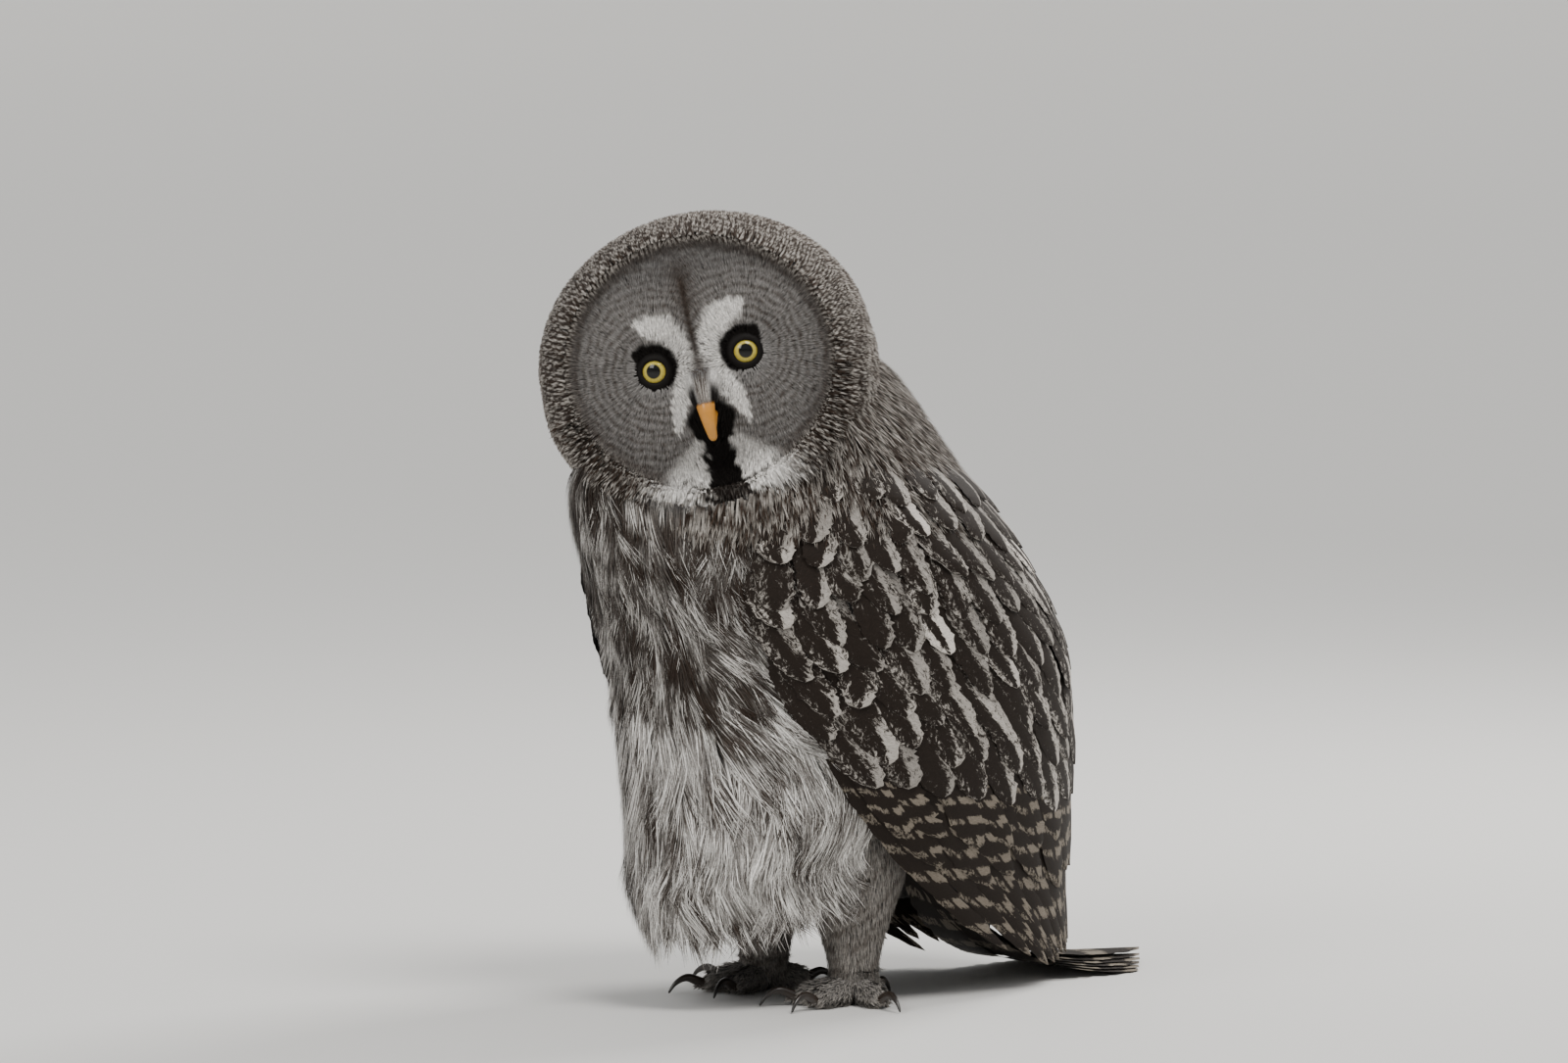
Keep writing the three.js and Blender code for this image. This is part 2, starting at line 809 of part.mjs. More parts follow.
function legSolid(side, grow) {
  const curve = new THREE.LineCurve3(
    new THREE.Vector3(side * LEG_SPREAD, LEG_Y, ANKLE_Z - 12),
    new THREE.Vector3(side * (LEG_SPREAD - 6), LEG_Y - 2, THIGH_TOP_Z),
  );
  const size = (t) => {
    const round = lerp(15, 37, smoothstep(t, 0.05, 0.62)) + grow;
    return [round, round * 1.12];
  };
  return rod(curve, [1, 0, 0], size, 8, 14);
}

function addLeg(side, name) {
  const underFoot = block(200, 200, 200, side * LEG_SPREAD, 0, ANKLE_Z - 100);
  addPart(`leg_${name}`, cutBy(legSolid(side, 0), [underFoot, torsoTool]), footFeathers);
}

addHead();
addTorso();
addWing(1, "wing_left");
addWing(-1, "wing_right");
addTail();
for (const [side, name] of [
  [1, "left"],
  [-1, "right"],
]) {
  addLeg(side, name);
  addFoot(side, name);
}

// The origin is the middle of the box round the bird, at the level of its soles
const extent = new THREE.Box3().setFromObject(owl);
const middle = extent.getCenter(new THREE.Vector3());
owl.position.set(-middle.x, -middle.y, -extent.min.z);

export default owl;
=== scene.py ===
"""A life-size great grey owl, standing: its plumage, eyes, bill and claws.

Lengths are in millimetres in the bird's own frame: breast towards -Y, the bird's left +X and
the ground at Z 0. Meshes turn them into metres and shift them to where the solids are.
"""

import math

import bpy
import numpy as np
from mathutils import Matrix, Vector


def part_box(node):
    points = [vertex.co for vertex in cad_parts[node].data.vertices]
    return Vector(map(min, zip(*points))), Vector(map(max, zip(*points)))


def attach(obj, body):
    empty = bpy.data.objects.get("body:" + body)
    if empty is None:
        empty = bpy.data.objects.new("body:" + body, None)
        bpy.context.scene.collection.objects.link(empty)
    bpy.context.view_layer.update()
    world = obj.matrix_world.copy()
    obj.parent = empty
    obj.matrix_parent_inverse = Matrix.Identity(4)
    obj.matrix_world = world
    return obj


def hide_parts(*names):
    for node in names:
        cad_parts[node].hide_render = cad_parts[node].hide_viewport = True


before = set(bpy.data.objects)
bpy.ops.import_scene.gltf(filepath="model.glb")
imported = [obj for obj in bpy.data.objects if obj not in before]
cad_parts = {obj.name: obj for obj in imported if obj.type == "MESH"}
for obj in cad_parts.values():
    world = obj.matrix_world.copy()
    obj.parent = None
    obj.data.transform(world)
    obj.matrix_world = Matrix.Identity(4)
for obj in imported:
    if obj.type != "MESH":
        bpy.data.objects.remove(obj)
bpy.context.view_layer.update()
rng = np.random.default_rng(11)

# The bird's sizes, the same as in the solids
HEAD_CENTRE = (0.0, -95.0, 421.0)
HEAD_TURN, HEAD_NOD, HEAD_ROLL = 46.5, -1.0, 13.0
HEAD_HALF = (108.0, 95.0)
HEAD_FRONT_DEPTH, HEAD_BACK_DEPTH = 97.0, 86.0
JOWL = 0.07
DISC_HALF = (91.0, 84.0)
DISC_FORWARD = 66.0
EYE_SPREAD, EYE_DEPTH, EYE_HEIGHT, EYE_RADIUS = 28.6, 45.5, 1.0, 12.6
EYE_OUTWARD = math.radians(8)
BELLY_Z, BELLY_RISE, BELLY_RISE_FROM_Y, BELLY_RISE_BELOW_Z = 62.0, 0.24, -112.0, 180.0
HEM_Z = 84.0
LEG_SPREAD, LEG_Y, ANKLE_Z = 46.0, -8.0, 22.0
TAIL_REACH = 284.0

# Level slices: height, centre y, half width, depth to the breast, depth to the back
TORSO = [
    (62, -52, 34, 58, 30),
    (75, -38, 66, 102, 56),
    (95, -26, 84, 113, 82),
    (125, -16, 97, 123, 150),
    (160, -10, 106, 131, 172),
    (200, -8, 112, 138, 176),
    (240, -12, 115, 143, 166),
    (280, -18, 114, 151, 148),
    (320, -26, 110, 156, 130),
    (350, -38, 103, 148, 122),
    (380, -52, 92, 112, 118),
    (410, -74, 74, 56, 121),
    (438, -86, 52, 28, 90),
]
WINGS = [
    (0, 110, 68, 40, 92),
    (20, 90, 76, 56, 110),
    (70, 44, 95, 90, 152),
    (120, 18, 112, 125, 176),
    (170, 10, 124, 150, 180),
    (220, 4, 130, 158, 178),
    (260, -4, 131, 160, 164),
    (300, -12, 126, 158, 142),
    (340, -26, 113, 138, 122),
    (372, -42, 94, 112, 104),
]
CAPE = [
    (280, -8, 130, 158, 154),
    (310, -16, 123, 157, 138),
    (345, -32, 109, 147, 124),
    (380, -52, 92, 114, 120),
    (410, -74, 76, 60, 121),
    (438, -86, 54, 30, 92),
]
# Height, and degrees from straight ahead to the front edge of a folded wing
WING_FRONT = [
    (0, 112), (20, 96), (70, 76), (120, 62), (170, 50),
    (220, 41), (260, 37), (300, 39), (340, 47), (372, 62),
]
WING_BACK = 179.2

# Colours of the plumage, linear
WHITE = np.array((0.72, 0.70, 0.67))
PALE = np.array((0.275, 0.255, 0.232))
GREY = np.array((0.092, 0.090, 0.090))
BROWN = np.array((0.033, 0.0225, 0.0165))
DARK = np.array((0.008, 0.006, 0.005))


# Arithmetic on arrays


def unit(vectors):
    return vectors / np.maximum(np.linalg.norm(vectors, axis=-1, keepdims=True), 1e-9)


def smoothstep(value, low, high):
    t = np.clip((value - low) / (high - low), 0, 1)
    return t * t * (3 - 2 * t)


def blend(low, high, share):
    return low + (high - low) * np.asarray(share)[..., None]


def steps(rows, roots):
    """From 0 at the root of each strand to 1 at its tip."""
    return np.linspace(0, 1, rows)[None] + 0 * roots[:, None]


def waves(points, wavelength, seed):
    """Smooth noise from -1 to 1 as a sum of plane waves."""
    source = np.random.default_rng(seed)
    total = 0.0
    for _ in range(6):
        direction = unit(source.normal(size=points.shape[-1]))
        size = wavelength * source.uniform(0.7, 1.5)
        total = total + np.sin(points @ direction * (2 * np.pi / size) + source.uniform(0, 6.3))
    return np.clip(total / 2.6, -1, 1)


# Surfaces of the bird, each a function of two coordinates and a lift above it


def table_at(table, z):
    """The rows of a table of slices at heights z, on smooth curves through its rows."""
    table = np.asarray(table, float)
    last = len(table) - 1
    k = np.clip(np.searchsorted(table[:, 0], z, side="left") - 1, 0, last - 1)
    low, high = table[k], table[k + 1]
    under, over = table[np.maximum(k - 1, 0)], table[np.minimum(k + 2, last)]
    span = high[..., :1] - low[..., :1]
    t = np.clip((np.asarray(z)[..., None] - low[..., :1]) / span, 0, 1)
    slope_low = (high - under) / (high[..., :1] - under[..., :1]) * span
    slope_high = (over - low) / (over[..., :1] - low[..., :1]) * span
    t2, t3 = t * t, t * t * t
    ends = (2 * t3 - 3 * t2 + 1) * low + (t3 - 2 * t2 + t) * slope_low
    return ends + (3 * t2 - 2 * t3) * high + (t3 - t2) * slope_high


def outline_at(table, z, angle, grow):
    rows = table_at(table, z)
    depth = np.where(np.cos(angle) > 0, rows[..., 3], rows[..., 4])
    x = (rows[..., 2] + grow) * np.sin(angle)
    y = rows[..., 1] - (depth + grow) * np.cos(angle)
    return np.stack((x, y, z + 0 * angle), -1)


def body(z, angle, lift):
    """The body down to its closed underside, which rises towards the tail."""
    point = outline_at(TORSO, z, angle, lift)
    low = 1 - smoothstep(point[..., 2], BELLY_Z, BELLY_RISE_BELOW_Z)
    point[..., 2] += low * BELLY_RISE * (point[..., 1] - BELLY_RISE_FROM_Y)
    return point


def torso(z, angle, lift):
    """The body's outer surface; below the hem the coat hangs clear of the belly."""
    point = body(np.maximum(z, HEM_Z), angle, lift)
    hang = np.maximum(0, HEM_Z - z)
    point[..., 2] -= hang
    point[..., 0] *= 1 - 0.004 * hang
    point[..., 1] += 0.35 * hang
    return point


def cape(z, angle, lift):
    return outline_at(CAPE, z, angle, lift)


def wing_front(z):
    return np.radians(table_at(WING_FRONT, z)[..., 1])


def wing(side):
    """The outer surface of a folded wing: share of its breadth from front to back, and height."""

    def surface(across, z, lift):
        front = wing_front(z)
        angle = front + (math.radians(WING_BACK) - front) * across
        point = outline_at(WINGS, z, angle, lift)
        point[..., 0] *= side
        return point

    return surface


def leg(side):
    def surface(z, angle, lift):
        rise = np.clip((z - (ANKLE_Z - 12)) / 155.0, 0, 1)
        thick = 15 + 22 * smoothstep(rise, 0.05, 0.62) + lift
        x = side * (LEG_SPREAD - 6 * rise) + thick * np.cos(angle)
        y = LEG_Y - 2 * rise + thick * 1.12 * np.sin(angle)
        return np.stack((x, y, z + 0 * angle), -1)

    return surface


HEAD_FRAME = (
    Matrix.Translation(HEAD_CENTRE)
    @ Matrix.Rotation(math.radians(HEAD_TURN), 4, "Z")
    @ Matrix.Rotation(math.radians(HEAD_NOD), 4, "X")
    @ Matrix.Rotation(math.radians(-HEAD_ROLL), 4, "Y")
)
head_turn = np.array(HEAD_FRAME.to_3x3())
head_centre = np.array(HEAD_CENTRE)


def from_head(points):
    return points @ head_turn.T + head_centre


def to_head(points):
    return (points - head_centre) @ head_turn


def disc_share(x, z):
    """0 in the middle of the face, 1 at its rim."""
    return np.hypot(x / DISC_HALF[0], z / DISC_HALF[1])


def face_depth(x, z, share):
    """Two shallow dishes round the eyes, a ridge between them and a raised rim."""
    bowl = 0.0021 * x * x + 0.0013 * z * z
    eye_x = np.abs(x) - EYE_SPREAD
    dish = 9 * np.exp(-(eye_x * eye_x + z * z) / 30**2)
    ridge = 9 * np.exp(-(x * x) / 13**2) * (1 - smoothstep(np.abs(z + 8), 30, 62))
    rim = 5 * np.exp(-(((share - 0.96) / 0.07) ** 2))
    return -DISC_FORWARD + bowl + dish - ridge - rim


def face(x, z, lift):
    """The face disc, which bends back just inside its rim."""
    share = disc_share(x, z)
    y = face_depth(x, z, share) + 200 * np.maximum(0, share - 0.975)
    return from_head(np.stack((x + 0 * z, y - lift, z + 0 * x), -1))


def head_back(t, turn, lift):
    """The head behind the face: t runs from the rim of the face to the nape."""
    right, up = np.sin(turn), np.cos(turn)
    rim_x, rim_z = DISC_HALF[0] * right, DISC_HALF[1] * up
    wide = np.hypot(HEAD_HALF[0] * right, HEAD_HALF[1] * up)
    start = np.arcsin(np.hypot(rim_x, rim_z) / wide)
    polar = start + (np.pi - start) * t
    step = face_depth(rim_x, rim_z, 1.0) + HEAD_FRONT_DEPTH * np.cos(start)
    depth = np.where(np.cos(polar) > 0, HEAD_FRONT_DEPTH, HEAD_BACK_DEPTH)
    y = -(depth + lift) * np.cos(polar) + step * np.clip(1 - t, 0, 1) ** 4
    full = 1 + JOWL * 2 * np.abs(right) * np.maximum(0, -up) * (1 - (2 * t - 1) ** 4)
    reach = np.sin(polar) * full
    x = (HEAD_HALF[0] + lift) * reach * right
    z = (HEAD_HALF[1] + lift) * reach * up
    return from_head(np.stack((x, y, z), -1))


def small_step(values):
    return max(np.ptp(values) * 1e-3, 1e-4)


def normal_at(surface, p, q, lift):
    step_p, step_q = small_step(p), small_step(q)
    along = surface(p + step_p, q, lift) - surface(p - step_p, q, lift)
    across = surface(p, q + step_q, lift) - surface(p, q - step_q, lift)
    normal = unit(np.cross(along, across))
    grown = surface(p, q, lift + 1.0) - surface(p, q, lift)
    return normal * np.sign((normal * grown).sum(-1, keepdims=True))


def steps_for(surface, p, q, vector):
    """The change in p and q that moves a point of the surface by about a vector."""
    step_p, step_q = small_step(p), small_step(q)
    here = surface(p, q, 0.0)
    along = (surface(p + step_p, q, 0.0) - here) / step_p
    across = (surface(p, q + step_q, 0.0) - here) / step_q
    e, f, g = (along**2).sum(-1), (along * across).sum(-1), (across**2).sum(-1)
    a, b = (vector * along).sum(-1), (vector * across).sum(-1)
    size = np.maximum(e * g - f * f, 1e-9)
    return (g * a - f * b) / size, (e * b - f * a) / size


# Meshes

METRES = 0.001
PATCH = 0.003  # how large each strand is on the unwrapped skin
GROUND = 0.8  # the lowest that a strand's middle line lies
tail_low, tail_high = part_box("tail")
shift = np.array(((tail_low.x + tail_high.x) / 2, tail_high.y - TAIL_REACH * METRES, 0))


def paint(mesh, tint):
    colour = np.concatenate((tint, np.ones((len(tint), 1))), 1)
    layer = mesh.color_attributes.new("Tint", "FLOAT_COLOR", "POINT")
    layer.data.foreach_set("color", colour.astype(np.float32).ravel())


def add_object(name, mesh):
    piece = bpy.data.objects.new(name, mesh)
    bpy.context.scene.collection.objects.link(piece)
    return piece


def make_mesh(name, points, quads, material, tint=None, patch=None, normals=None):
    """One object from arrays of points in millimetres and of four-cornered faces."""
    points = points.reshape(-1, 3)
    mesh = bpy.data.meshes.new(name)
    mesh.vertices.add(len(points))
    mesh.vertices.foreach_set("co", (points * METRES + shift).astype(np.float32).ravel())
    mesh.loops.add(quads.size)
    mesh.loops.foreach_set("vertex_index", quads.ravel().astype(np.int32))
    mesh.polygons.add(len(quads))
    mesh.polygons.foreach_set("loop_start", np.arange(0, quads.size, 4, dtype=np.int32))
    mesh.update(calc_edges=True)
    if patch is not None:
        layer = mesh.uv_layers.new(name="OFBake")
        corners = patch.reshape(-1, 2)[quads.ravel()]
        layer.data.foreach_set("uv", corners.astype(np.float32).ravel())
    if tint is not None:
        paint(mesh, tint.reshape(-1, 3))
    mesh.polygons.foreach_set("use_smooth", np.ones(len(quads), bool))
    if normals is not None:
        mesh.normals_split_custom_set_from_vertices(normals.astype(np.float32))
    mesh.materials.append(material)
    piece = add_object(name, mesh)
    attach(piece, "root")
    return piece


def ribbons(name, centre, facing, half, tint, roots):
    """Narrow strands: centre lines (count, rows, 3), normals, half widths, colours and roots."""
    count, rows = centre.shape[:2]
    sideways = unit(np.cross(unit(np.gradient(centre, axis=1)), facing)) * half[..., None]
    points = np.stack((centre - sideways, centre + sideways), 2)
    first = np.arange(count)[:, None] * rows * 2 + np.arange(rows - 1)[None] * 2
    quads = np.stack((first, first + 1, first + 3, first + 2), -1).reshape(-1, 4)
    shade = unit(facing + rng.normal(0, 0.22, (count, 1, 3)))
    normals = np.repeat(shade[:, :, None], 2, 2).reshape(-1, 3)
    across = np.array((0.0, 1.0))[None, None] + np.zeros((count, rows, 1))
    down = np.linspace(0, 1, rows)[None, :, None] + np.zeros((count, 1, 2))
    patch = 0.01 + 0.98 * np.clip(roots, 0, 1)[:, None, None]
    patch = patch + (np.stack((across, down), -1) - 0.5) * PATCH
    colours = np.repeat(tint[:, :, None], 2, 2)
    return make_mesh(name, points, quads, down_material, colours, patch, normals)


def grid_quads(rows, columns, count=1, wrap=False):
    """Faces of count grids of points, each of rows by columns points."""
    j = np.arange(columns if wrap else columns - 1)
    i = np.arange(rows - 1)
    a = i[:, None] * columns + j[None]
    b = i[:, None] * columns + (j[None] + 1) % columns
    one = np.stack((a, b, b + columns, a + columns), -1).reshape(-1, 4)
    return (one[None] + np.arange(count)[:, None, None] * rows * columns).reshape(-1, 4)


# Materials


def connect(tree, node, inputs):
    """Fill a node's inputs with values or with other nodes' outputs."""
    for socket, value in inputs.items():
        if isinstance(value, bpy.types.NodeSocket):
            tree.links.new(value, node.inputs[socket])
        else:
            node.inputs[socket].default_value = value


def add_node(tree, kind, inputs=None, **settings):
    node = tree.nodes.new("ShaderNode" + kind)
    for setting, value in settings.items():
        setattr(node, setting, value)
    connect(tree, node, inputs or {})
    return node


def noise_in(tree, scale, detail=2.0, **more):
    """Noise fixed to the piece, or along its own coordinates where Vector is given."""
    return add_node(tree, "TexNoise", {"Scale": scale, "Detail": detail, **more}).outputs["Fac"]


def ranged(tree, value, spread, levels=(0.0, 1.0), **settings):
    """A value's spread stretched between two levels."""
    inputs = {"Value": value, "From Min": spread[0], "From Max": spread[1]}
    inputs.update({"To Min": levels[0], "To Max": levels[1]})
    return add_node(tree, "MapRange", inputs, **settings).outputs["Result"]


def multiplied(tree, one, other):
    node = add_node(tree, "VectorMath", {0: one, 1: other}, operation="MULTIPLY")
    return node.outputs["Vector"]


def carried(tree, name, output):
    """A value that the mesh carries."""
    return add_node(tree, "Attribute", attribute_name=name).outputs[output]


def bumped(tree, height, strength, distance):
    inputs = {"Height": height, "Strength": strength, "Distance": distance}
    return add_node(tree, "Bump", inputs).outputs["Normal"]


def node_material(name, roughness, specular, sheen=0.0, coat=0.0):
    material = bpy.data.materials.new(name)
    material.use_nodes = True
    tree = material.node_tree
    shader = tree.nodes["Principled BSDF"]
    finish = {"Roughness": roughness, "Specular IOR Level": specular}
    connect(tree, shader, {**finish, "Sheen Weight": sheen, "Coat Weight": coat})
    return material, tree, shader


def mottled_material(name, roughness, specular, scale, low, high):
    """A plain finish that wanders between two colours."""
    material, tree, shader = node_material(name, roughness, specular)
    ramp = add_node(tree, "ValToRGB", {"Fac": noise_in(tree, scale)})
    ramp.color_ramp.elements[0].color = low
    ramp.color_ramp.elements[1].color = high
    connect(tree, shader, {"Base Color": ramp.outputs["Color"]})
    return material


def tinted_material(name, finish, scale, detail, spread, depth, bump=0.0):
    """The markings that the mesh carries, lightened and darkened by fine noise."""
    material, tree, shader = node_material(name, *finish)
    place = add_node(tree, "TexCoord").outputs["Object"]
    noise = noise_in(tree, scale, detail, Vector=place)
    level = ranged(tree, noise, spread, (1 - depth, 1 + depth))
    connect(tree, shader, {"Base Color": multiplied(tree, carried(tree, "Tint", "Color"), level)})
    if bump:
        connect(tree, shader, {"Normal": bumped(tree, noise, bump, 0.0004)})
    return material


def vane_shader():
    """Vanes: pale mottling over dark brown, finer than the mesh, along each feather's own web."""
    material, tree, shader = node_material("vanes", 0.68, 0.12, 0.02)
    web = carried(tree, "Web", "Vector")
    drawn = {"Roughness": 0.78, "Distortion": 0.6, "Vector": multiplied(tree, web, (1.0, 0.62, 1.0))}
    blotch = ranged(tree, noise_in(tree, 0.36, 7, **drawn), (0.3, 0.7))
    cover = carried(tree, "Cover", "Fac")
    total = add_node(tree, "Math", {0: blotch, 1: cover}, operation="ADD").outputs["Value"]
    edge = ranged(tree, total, (0.88, 1.12), interpolation_type="SMOOTHSTEP")
    barbs = noise_in(tree, 1.0, 2, Vector=multiplied(tree, web, (0.5, 2.6, 1.0)))
    mix = add_node(tree, "Mix", data_type="RGBA")
    ground, tint = (*(BROWN * 0.42), 1), carried(tree, "Tint", "Color")
    connect(tree, mix, {0: edge, 6: ground, 7: tint})
    colour = multiplied(tree, mix.outputs[2], ranged(tree, barbs, (0.3, 0.7), (0.62, 1.3)))
    connect(tree, shader, {"Base Color": colour, "Normal": bumped(tree, barbs, 0.35, 0.0003)})
    return material


down_material = tinted_material("plumage", (0.85, 0.08, 0.04), 700, 3, (0.3, 0.7), 0.25, bump=0.25)
vane_material = vane_shader()
skin_material = tinted_material("under_plumage", (0.9, 0.1), 400, 3, (0.3, 0.7), 0.3, bump=0.25)
eye_material = tinted_material("eye", (0.04, 0.2, 0.0, 0.3), 350, 4, (0, 1), 0.15)
horn_material = tinted_material("bill_horn", (0.38, 0.45, 0.0, 0.2), 350, 4, (0, 1), 0.15)
claw_material = tinted_material("claw_horn", (0.32, 0.5, 0.0, 0.2), 350, 4, (0, 1), 0.15)
lid_material = mottled_material(
    "lids", 0.6, 0.12, 500, (0.002, 0.0017, 0.0015, 1), (0.008, 0.006, 0.005, 1)
)


# Markings

# The white brow and lore of one side: points of its middle line and half widths there
BROW = [
    (35.0, 33.5, 2.0), (27.0, 29.5, 7.0), (18.0, 26.5, 8.5), (11.0, 17.0, 7.0), (7.5, 7.0, 6.0),
    (8.0, -3.0, 7.2), (13.0, -14.0, 6.8), (18.0, -24.0, 5.6), (21.5, -34.0, 3.8), (23.5, -42.0, 1.2),
]
# The black beside the bill, in the same way
BILL_SIDE = [(4.0, -27.0, 4.0), (10.0, -36.0, 6.0), (7.0, -45.0, 5.0)]
# The black round an eye: direction from the eye (0 towards the bill, 90 up) and its reach
EYE_BLACK = [
    (-180, 10.0), (-120, 9.6), (-90, 10.4), (-53, 14.2), (-20, 14.0), (11, 14.4),
    (45, 16.4), (75, 17.0), (100, 17.8), (130, 19.8), (150, 14.5), (180, 10.0),
]
FACE_RING = 4.7  # from one dark ring of the face to the next
CROWN_BAR = 6.0  # from one dark bar of the crown to the next


def in_band(x, z, band, soft=0.3):
    """How far points lie inside a band given by points of its middle line and half widths."""
    best = np.full(np.broadcast(x, z).shape, 99.0)
    for (ax, az, aw), (bx, bz, bw) in zip(band, band[1:]):
        dx, dz = bx - ax, bz - az
        t = np.clip(((x - ax) * dx + (z - az) * dz) / (dx * dx + dz * dz), 0, 1)
        away = np.hypot(x - ax - t * dx, z - az - t * dz) / (aw + (bw - aw) * t)
        best = np.minimum(best, away)
    return 1 - smoothstep(best, 1 - soft, 1 + soft)


def face_rings(spot, reach, z):
    """Grey, with broken dark rings round each eye."""
    wobble = 1.1 * waves(spot, 14, 3)
    ring = 0.5 + 0.5 * np.cos((reach + wobble) * (2 * np.pi / FACE_RING))
    ring = ring**1.6 * smoothstep(reach, 15, 24) * (0.75 + 0.25 * waves(spot, 5, 4))
    colour = blend(GREY * 1.15 + PALE * 0.30, BROWN * 1.1, 0.92 * ring)
    return blend(colour, GREY * 0.62, 0.45 * smoothstep(reach, 40, 66) * (z > 0))


def face_middle(colour, spot, x, z):
    """White brows, with mottled brown above, between and below them."""
    nose = np.exp(-((x / 5.5) ** 2)) * smoothstep(z, -26, -14) * (1 - smoothstep(z, 0, 10))
    middle = np.exp(-((x / 2.4) ** 2)) * smoothstep(z, 0, 10) * (1 - smoothstep(z, 50, 62))
    above = np.exp(-((x / 9.0) ** 2)) * smoothstep(z, 22, 42) * (1 - smoothstep(z, 58, 74))
    colour = blend(colour, BROWN * 0.9, 0.6 * above)
    stray = waves(spot, 4.5, 8) * 1.1
    white = in_band(np.abs(x) + stray, z + waves(spot, 4.5, 9) * 1.1, BROW, 0.4)
    colour = blend(colour, WHITE * 0.95, white)
    colour = blend(colour, BROWN * 1.2, 0.75 * nose)
    return blend(colour, BROWN * 0.8, 0.9 * middle)


def face_tint(x, z):
    """The face's colours: rings round the eyes, white brows and lores, black crescents."""
    side, share = np.abs(x), disc_share(x, z)
    reach = np.hypot(side - EYE_SPREAD, z - EYE_HEIGHT)
    spot = np.stack((x, z), -1)
    colour = face_middle(face_rings(spot, reach, z), spot, x, z)
    # black round the eyes
    angle = np.degrees(np.arctan2(z - EYE_HEIGHT, EYE_SPREAD - side))
    black_reach = np.interp(angle, *np.array(EYE_BLACK).T)
    black = 1 - smoothstep(reach + 0.8 * waves(spot, 6, 5), black_reach - 1.2, black_reach + 1.2)
    colour = blend(colour, DARK * 0.5, black)
    # black beside the bill and down the chin
    beside = in_band(side, z, BILL_SIDE)
    chin_half = np.interp(z, [-84, -70, -44], [14.0, 10.5, 9.5]) + 3.0 * waves(spot, 6, 10)
    chin = (1 - smoothstep(side, chin_half - 2.5, chin_half + 2.5)) * smoothstep(-z, 38, 43)
    # white patches that widen from beside the chin to the rim
    low_turn = np.degrees(np.arctan2(side, -36.0 - z))
    patch = smoothstep(low_turn, 10, 15) * (1 - smoothstep(low_turn, 42, 56))
    patch = patch * smoothstep(-z, 43, 49) * (0.55 + 0.45 * smoothstep(share, 0.72, 0.88))
    colour = blend(colour, WHITE * 1.05, patch)
    # a dark ring and a speckled rim
    colour = blend(colour, BROWN * 0.9, 0.55 * smoothstep(share, 0.83, 0.9) * (1 - patch))
    rim_colour = blend(BROWN * 0.7, PALE * 1.1, smoothstep(waves(spot, 2.6, 7), -0.1, 0.35))
    colour = blend(colour, rim_colour, smoothstep(share, 0.90, 0.96) * (1 - 0.85 * patch))
    fleck = smoothstep(waves(spot, 4.0, 6), 0.35, 0.6) * smoothstep(share, 0.84, 0.92)
    colour = blend(colour, DARK, 0.8 * fleck * patch)
    return blend(colour, DARK * 0.5, np.clip(beside + chin, 0, 1))


def rim_tint(turn, t, spot):
    """The ruff: dark feathers with pale specks, white below either side of the black chin."""
    speck = smoothstep(waves(spot, 3.2, 21), 0.12, 0.5)
    colour = blend(BROWN * 0.8, PALE * 1.05, speck)
    low = np.degrees(np.abs(np.arctan2(np.sin(turn), -np.cos(turn))))
    ragged = low + 6 * waves(spot, 6, 22)
    white = smoothstep(ragged, 9, 15) * (1 - smoothstep(ragged, 22, 36))
    colour = blend(colour, WHITE, 0.9 * white * (1 - 0.75 * smoothstep(t, 0.45, 0.9)))
    return blend(colour, DARK, 0.9 * (1 - smoothstep(ragged, 6, 13)))


def crown_tint(spot, t):
    """Crown, nape and mantle: fine broken bars of brown and grey."""
    local = to_head(spot)
    phase = local[..., 1] - 0.55 * local[..., 2] + 3.0 * waves(local, 15, 33)
    bars = np.cos(phase * (2 * np.pi / CROWN_BAR)) + 0.9 * waves(local, 6.0, 31)
    colour = blend(BROWN * 1.1, PALE * 1.2, smoothstep(bars, -0.45, 0.95))
    # Darker towards each strand's root and lighter at its tip: painted shade where the strands
    # overlap.
    return colour * (0.8 + 0.3 * t[..., None] ** 2)


def barred_tint(place, t, pale, dark, share, wavelength, seed):
    """Grey roots and paler tips, with faint level bars."""
    bars = smoothstep(waves(place * (1, 1, 2), wavelength, seed), 0.1, 0.5)
    return blend(blend(GREY, pale, t), dark, share * bars)


def breast_tint(density, white):
    """Pale locks with a brown streak down each, and broader streaks across several locks."""

    def tint_of(lock, share, t, place):
        locks = lock.max() + 1
        wander = rng.normal(0, 0.3, locks)[lock]
        width = rng.uniform(0.15, 0.55, locks)[lock] * density
        streak = 1 - smoothstep(np.abs(share + wander), width, width + 0.15)
        streak = streak[:, None] * smoothstep(t, 0.10, 0.28) * (0.95 - 0.30 * white)
        pale = blend(PALE, WHITE * 1.2, np.clip(white + 0.45 * t, 0, 1))
        around = 210 * np.arctan2(place[:, :1, 0], 30 - place[:, :1, 1]) + 0 * t
        high = place[..., 2] * (0.16 if white > 0.5 else 0.24)
        field = np.stack((around, high), -1)
        broad = waves(field, 14, 41) + 0.4 * waves(field, 6, 42)
        broad = smoothstep(broad, 0.34 * white - 0.14, 0.08 + 0.34 * white)
        bars = smoothstep(waves(place * (1, 1, 2), 7, 43), 0.2, 0.55) * (1 - white)
        brown = BROWN * (0.8 + 0.5 * white)
        colour = blend(pale, BROWN * 1.5, 0.35 * bars)
        colour = blend(colour, brown, 0.95 * broad)
        colour = blend(colour, brown, streak)
        # Dark grey at each strand's root: painted shade where the locks overlap one another.
        return blend(colour, GREY * 0.6, 0.8 * (1 - smoothstep(t, 0.0, 0.32)))

    return tint_of


# Coats of strands

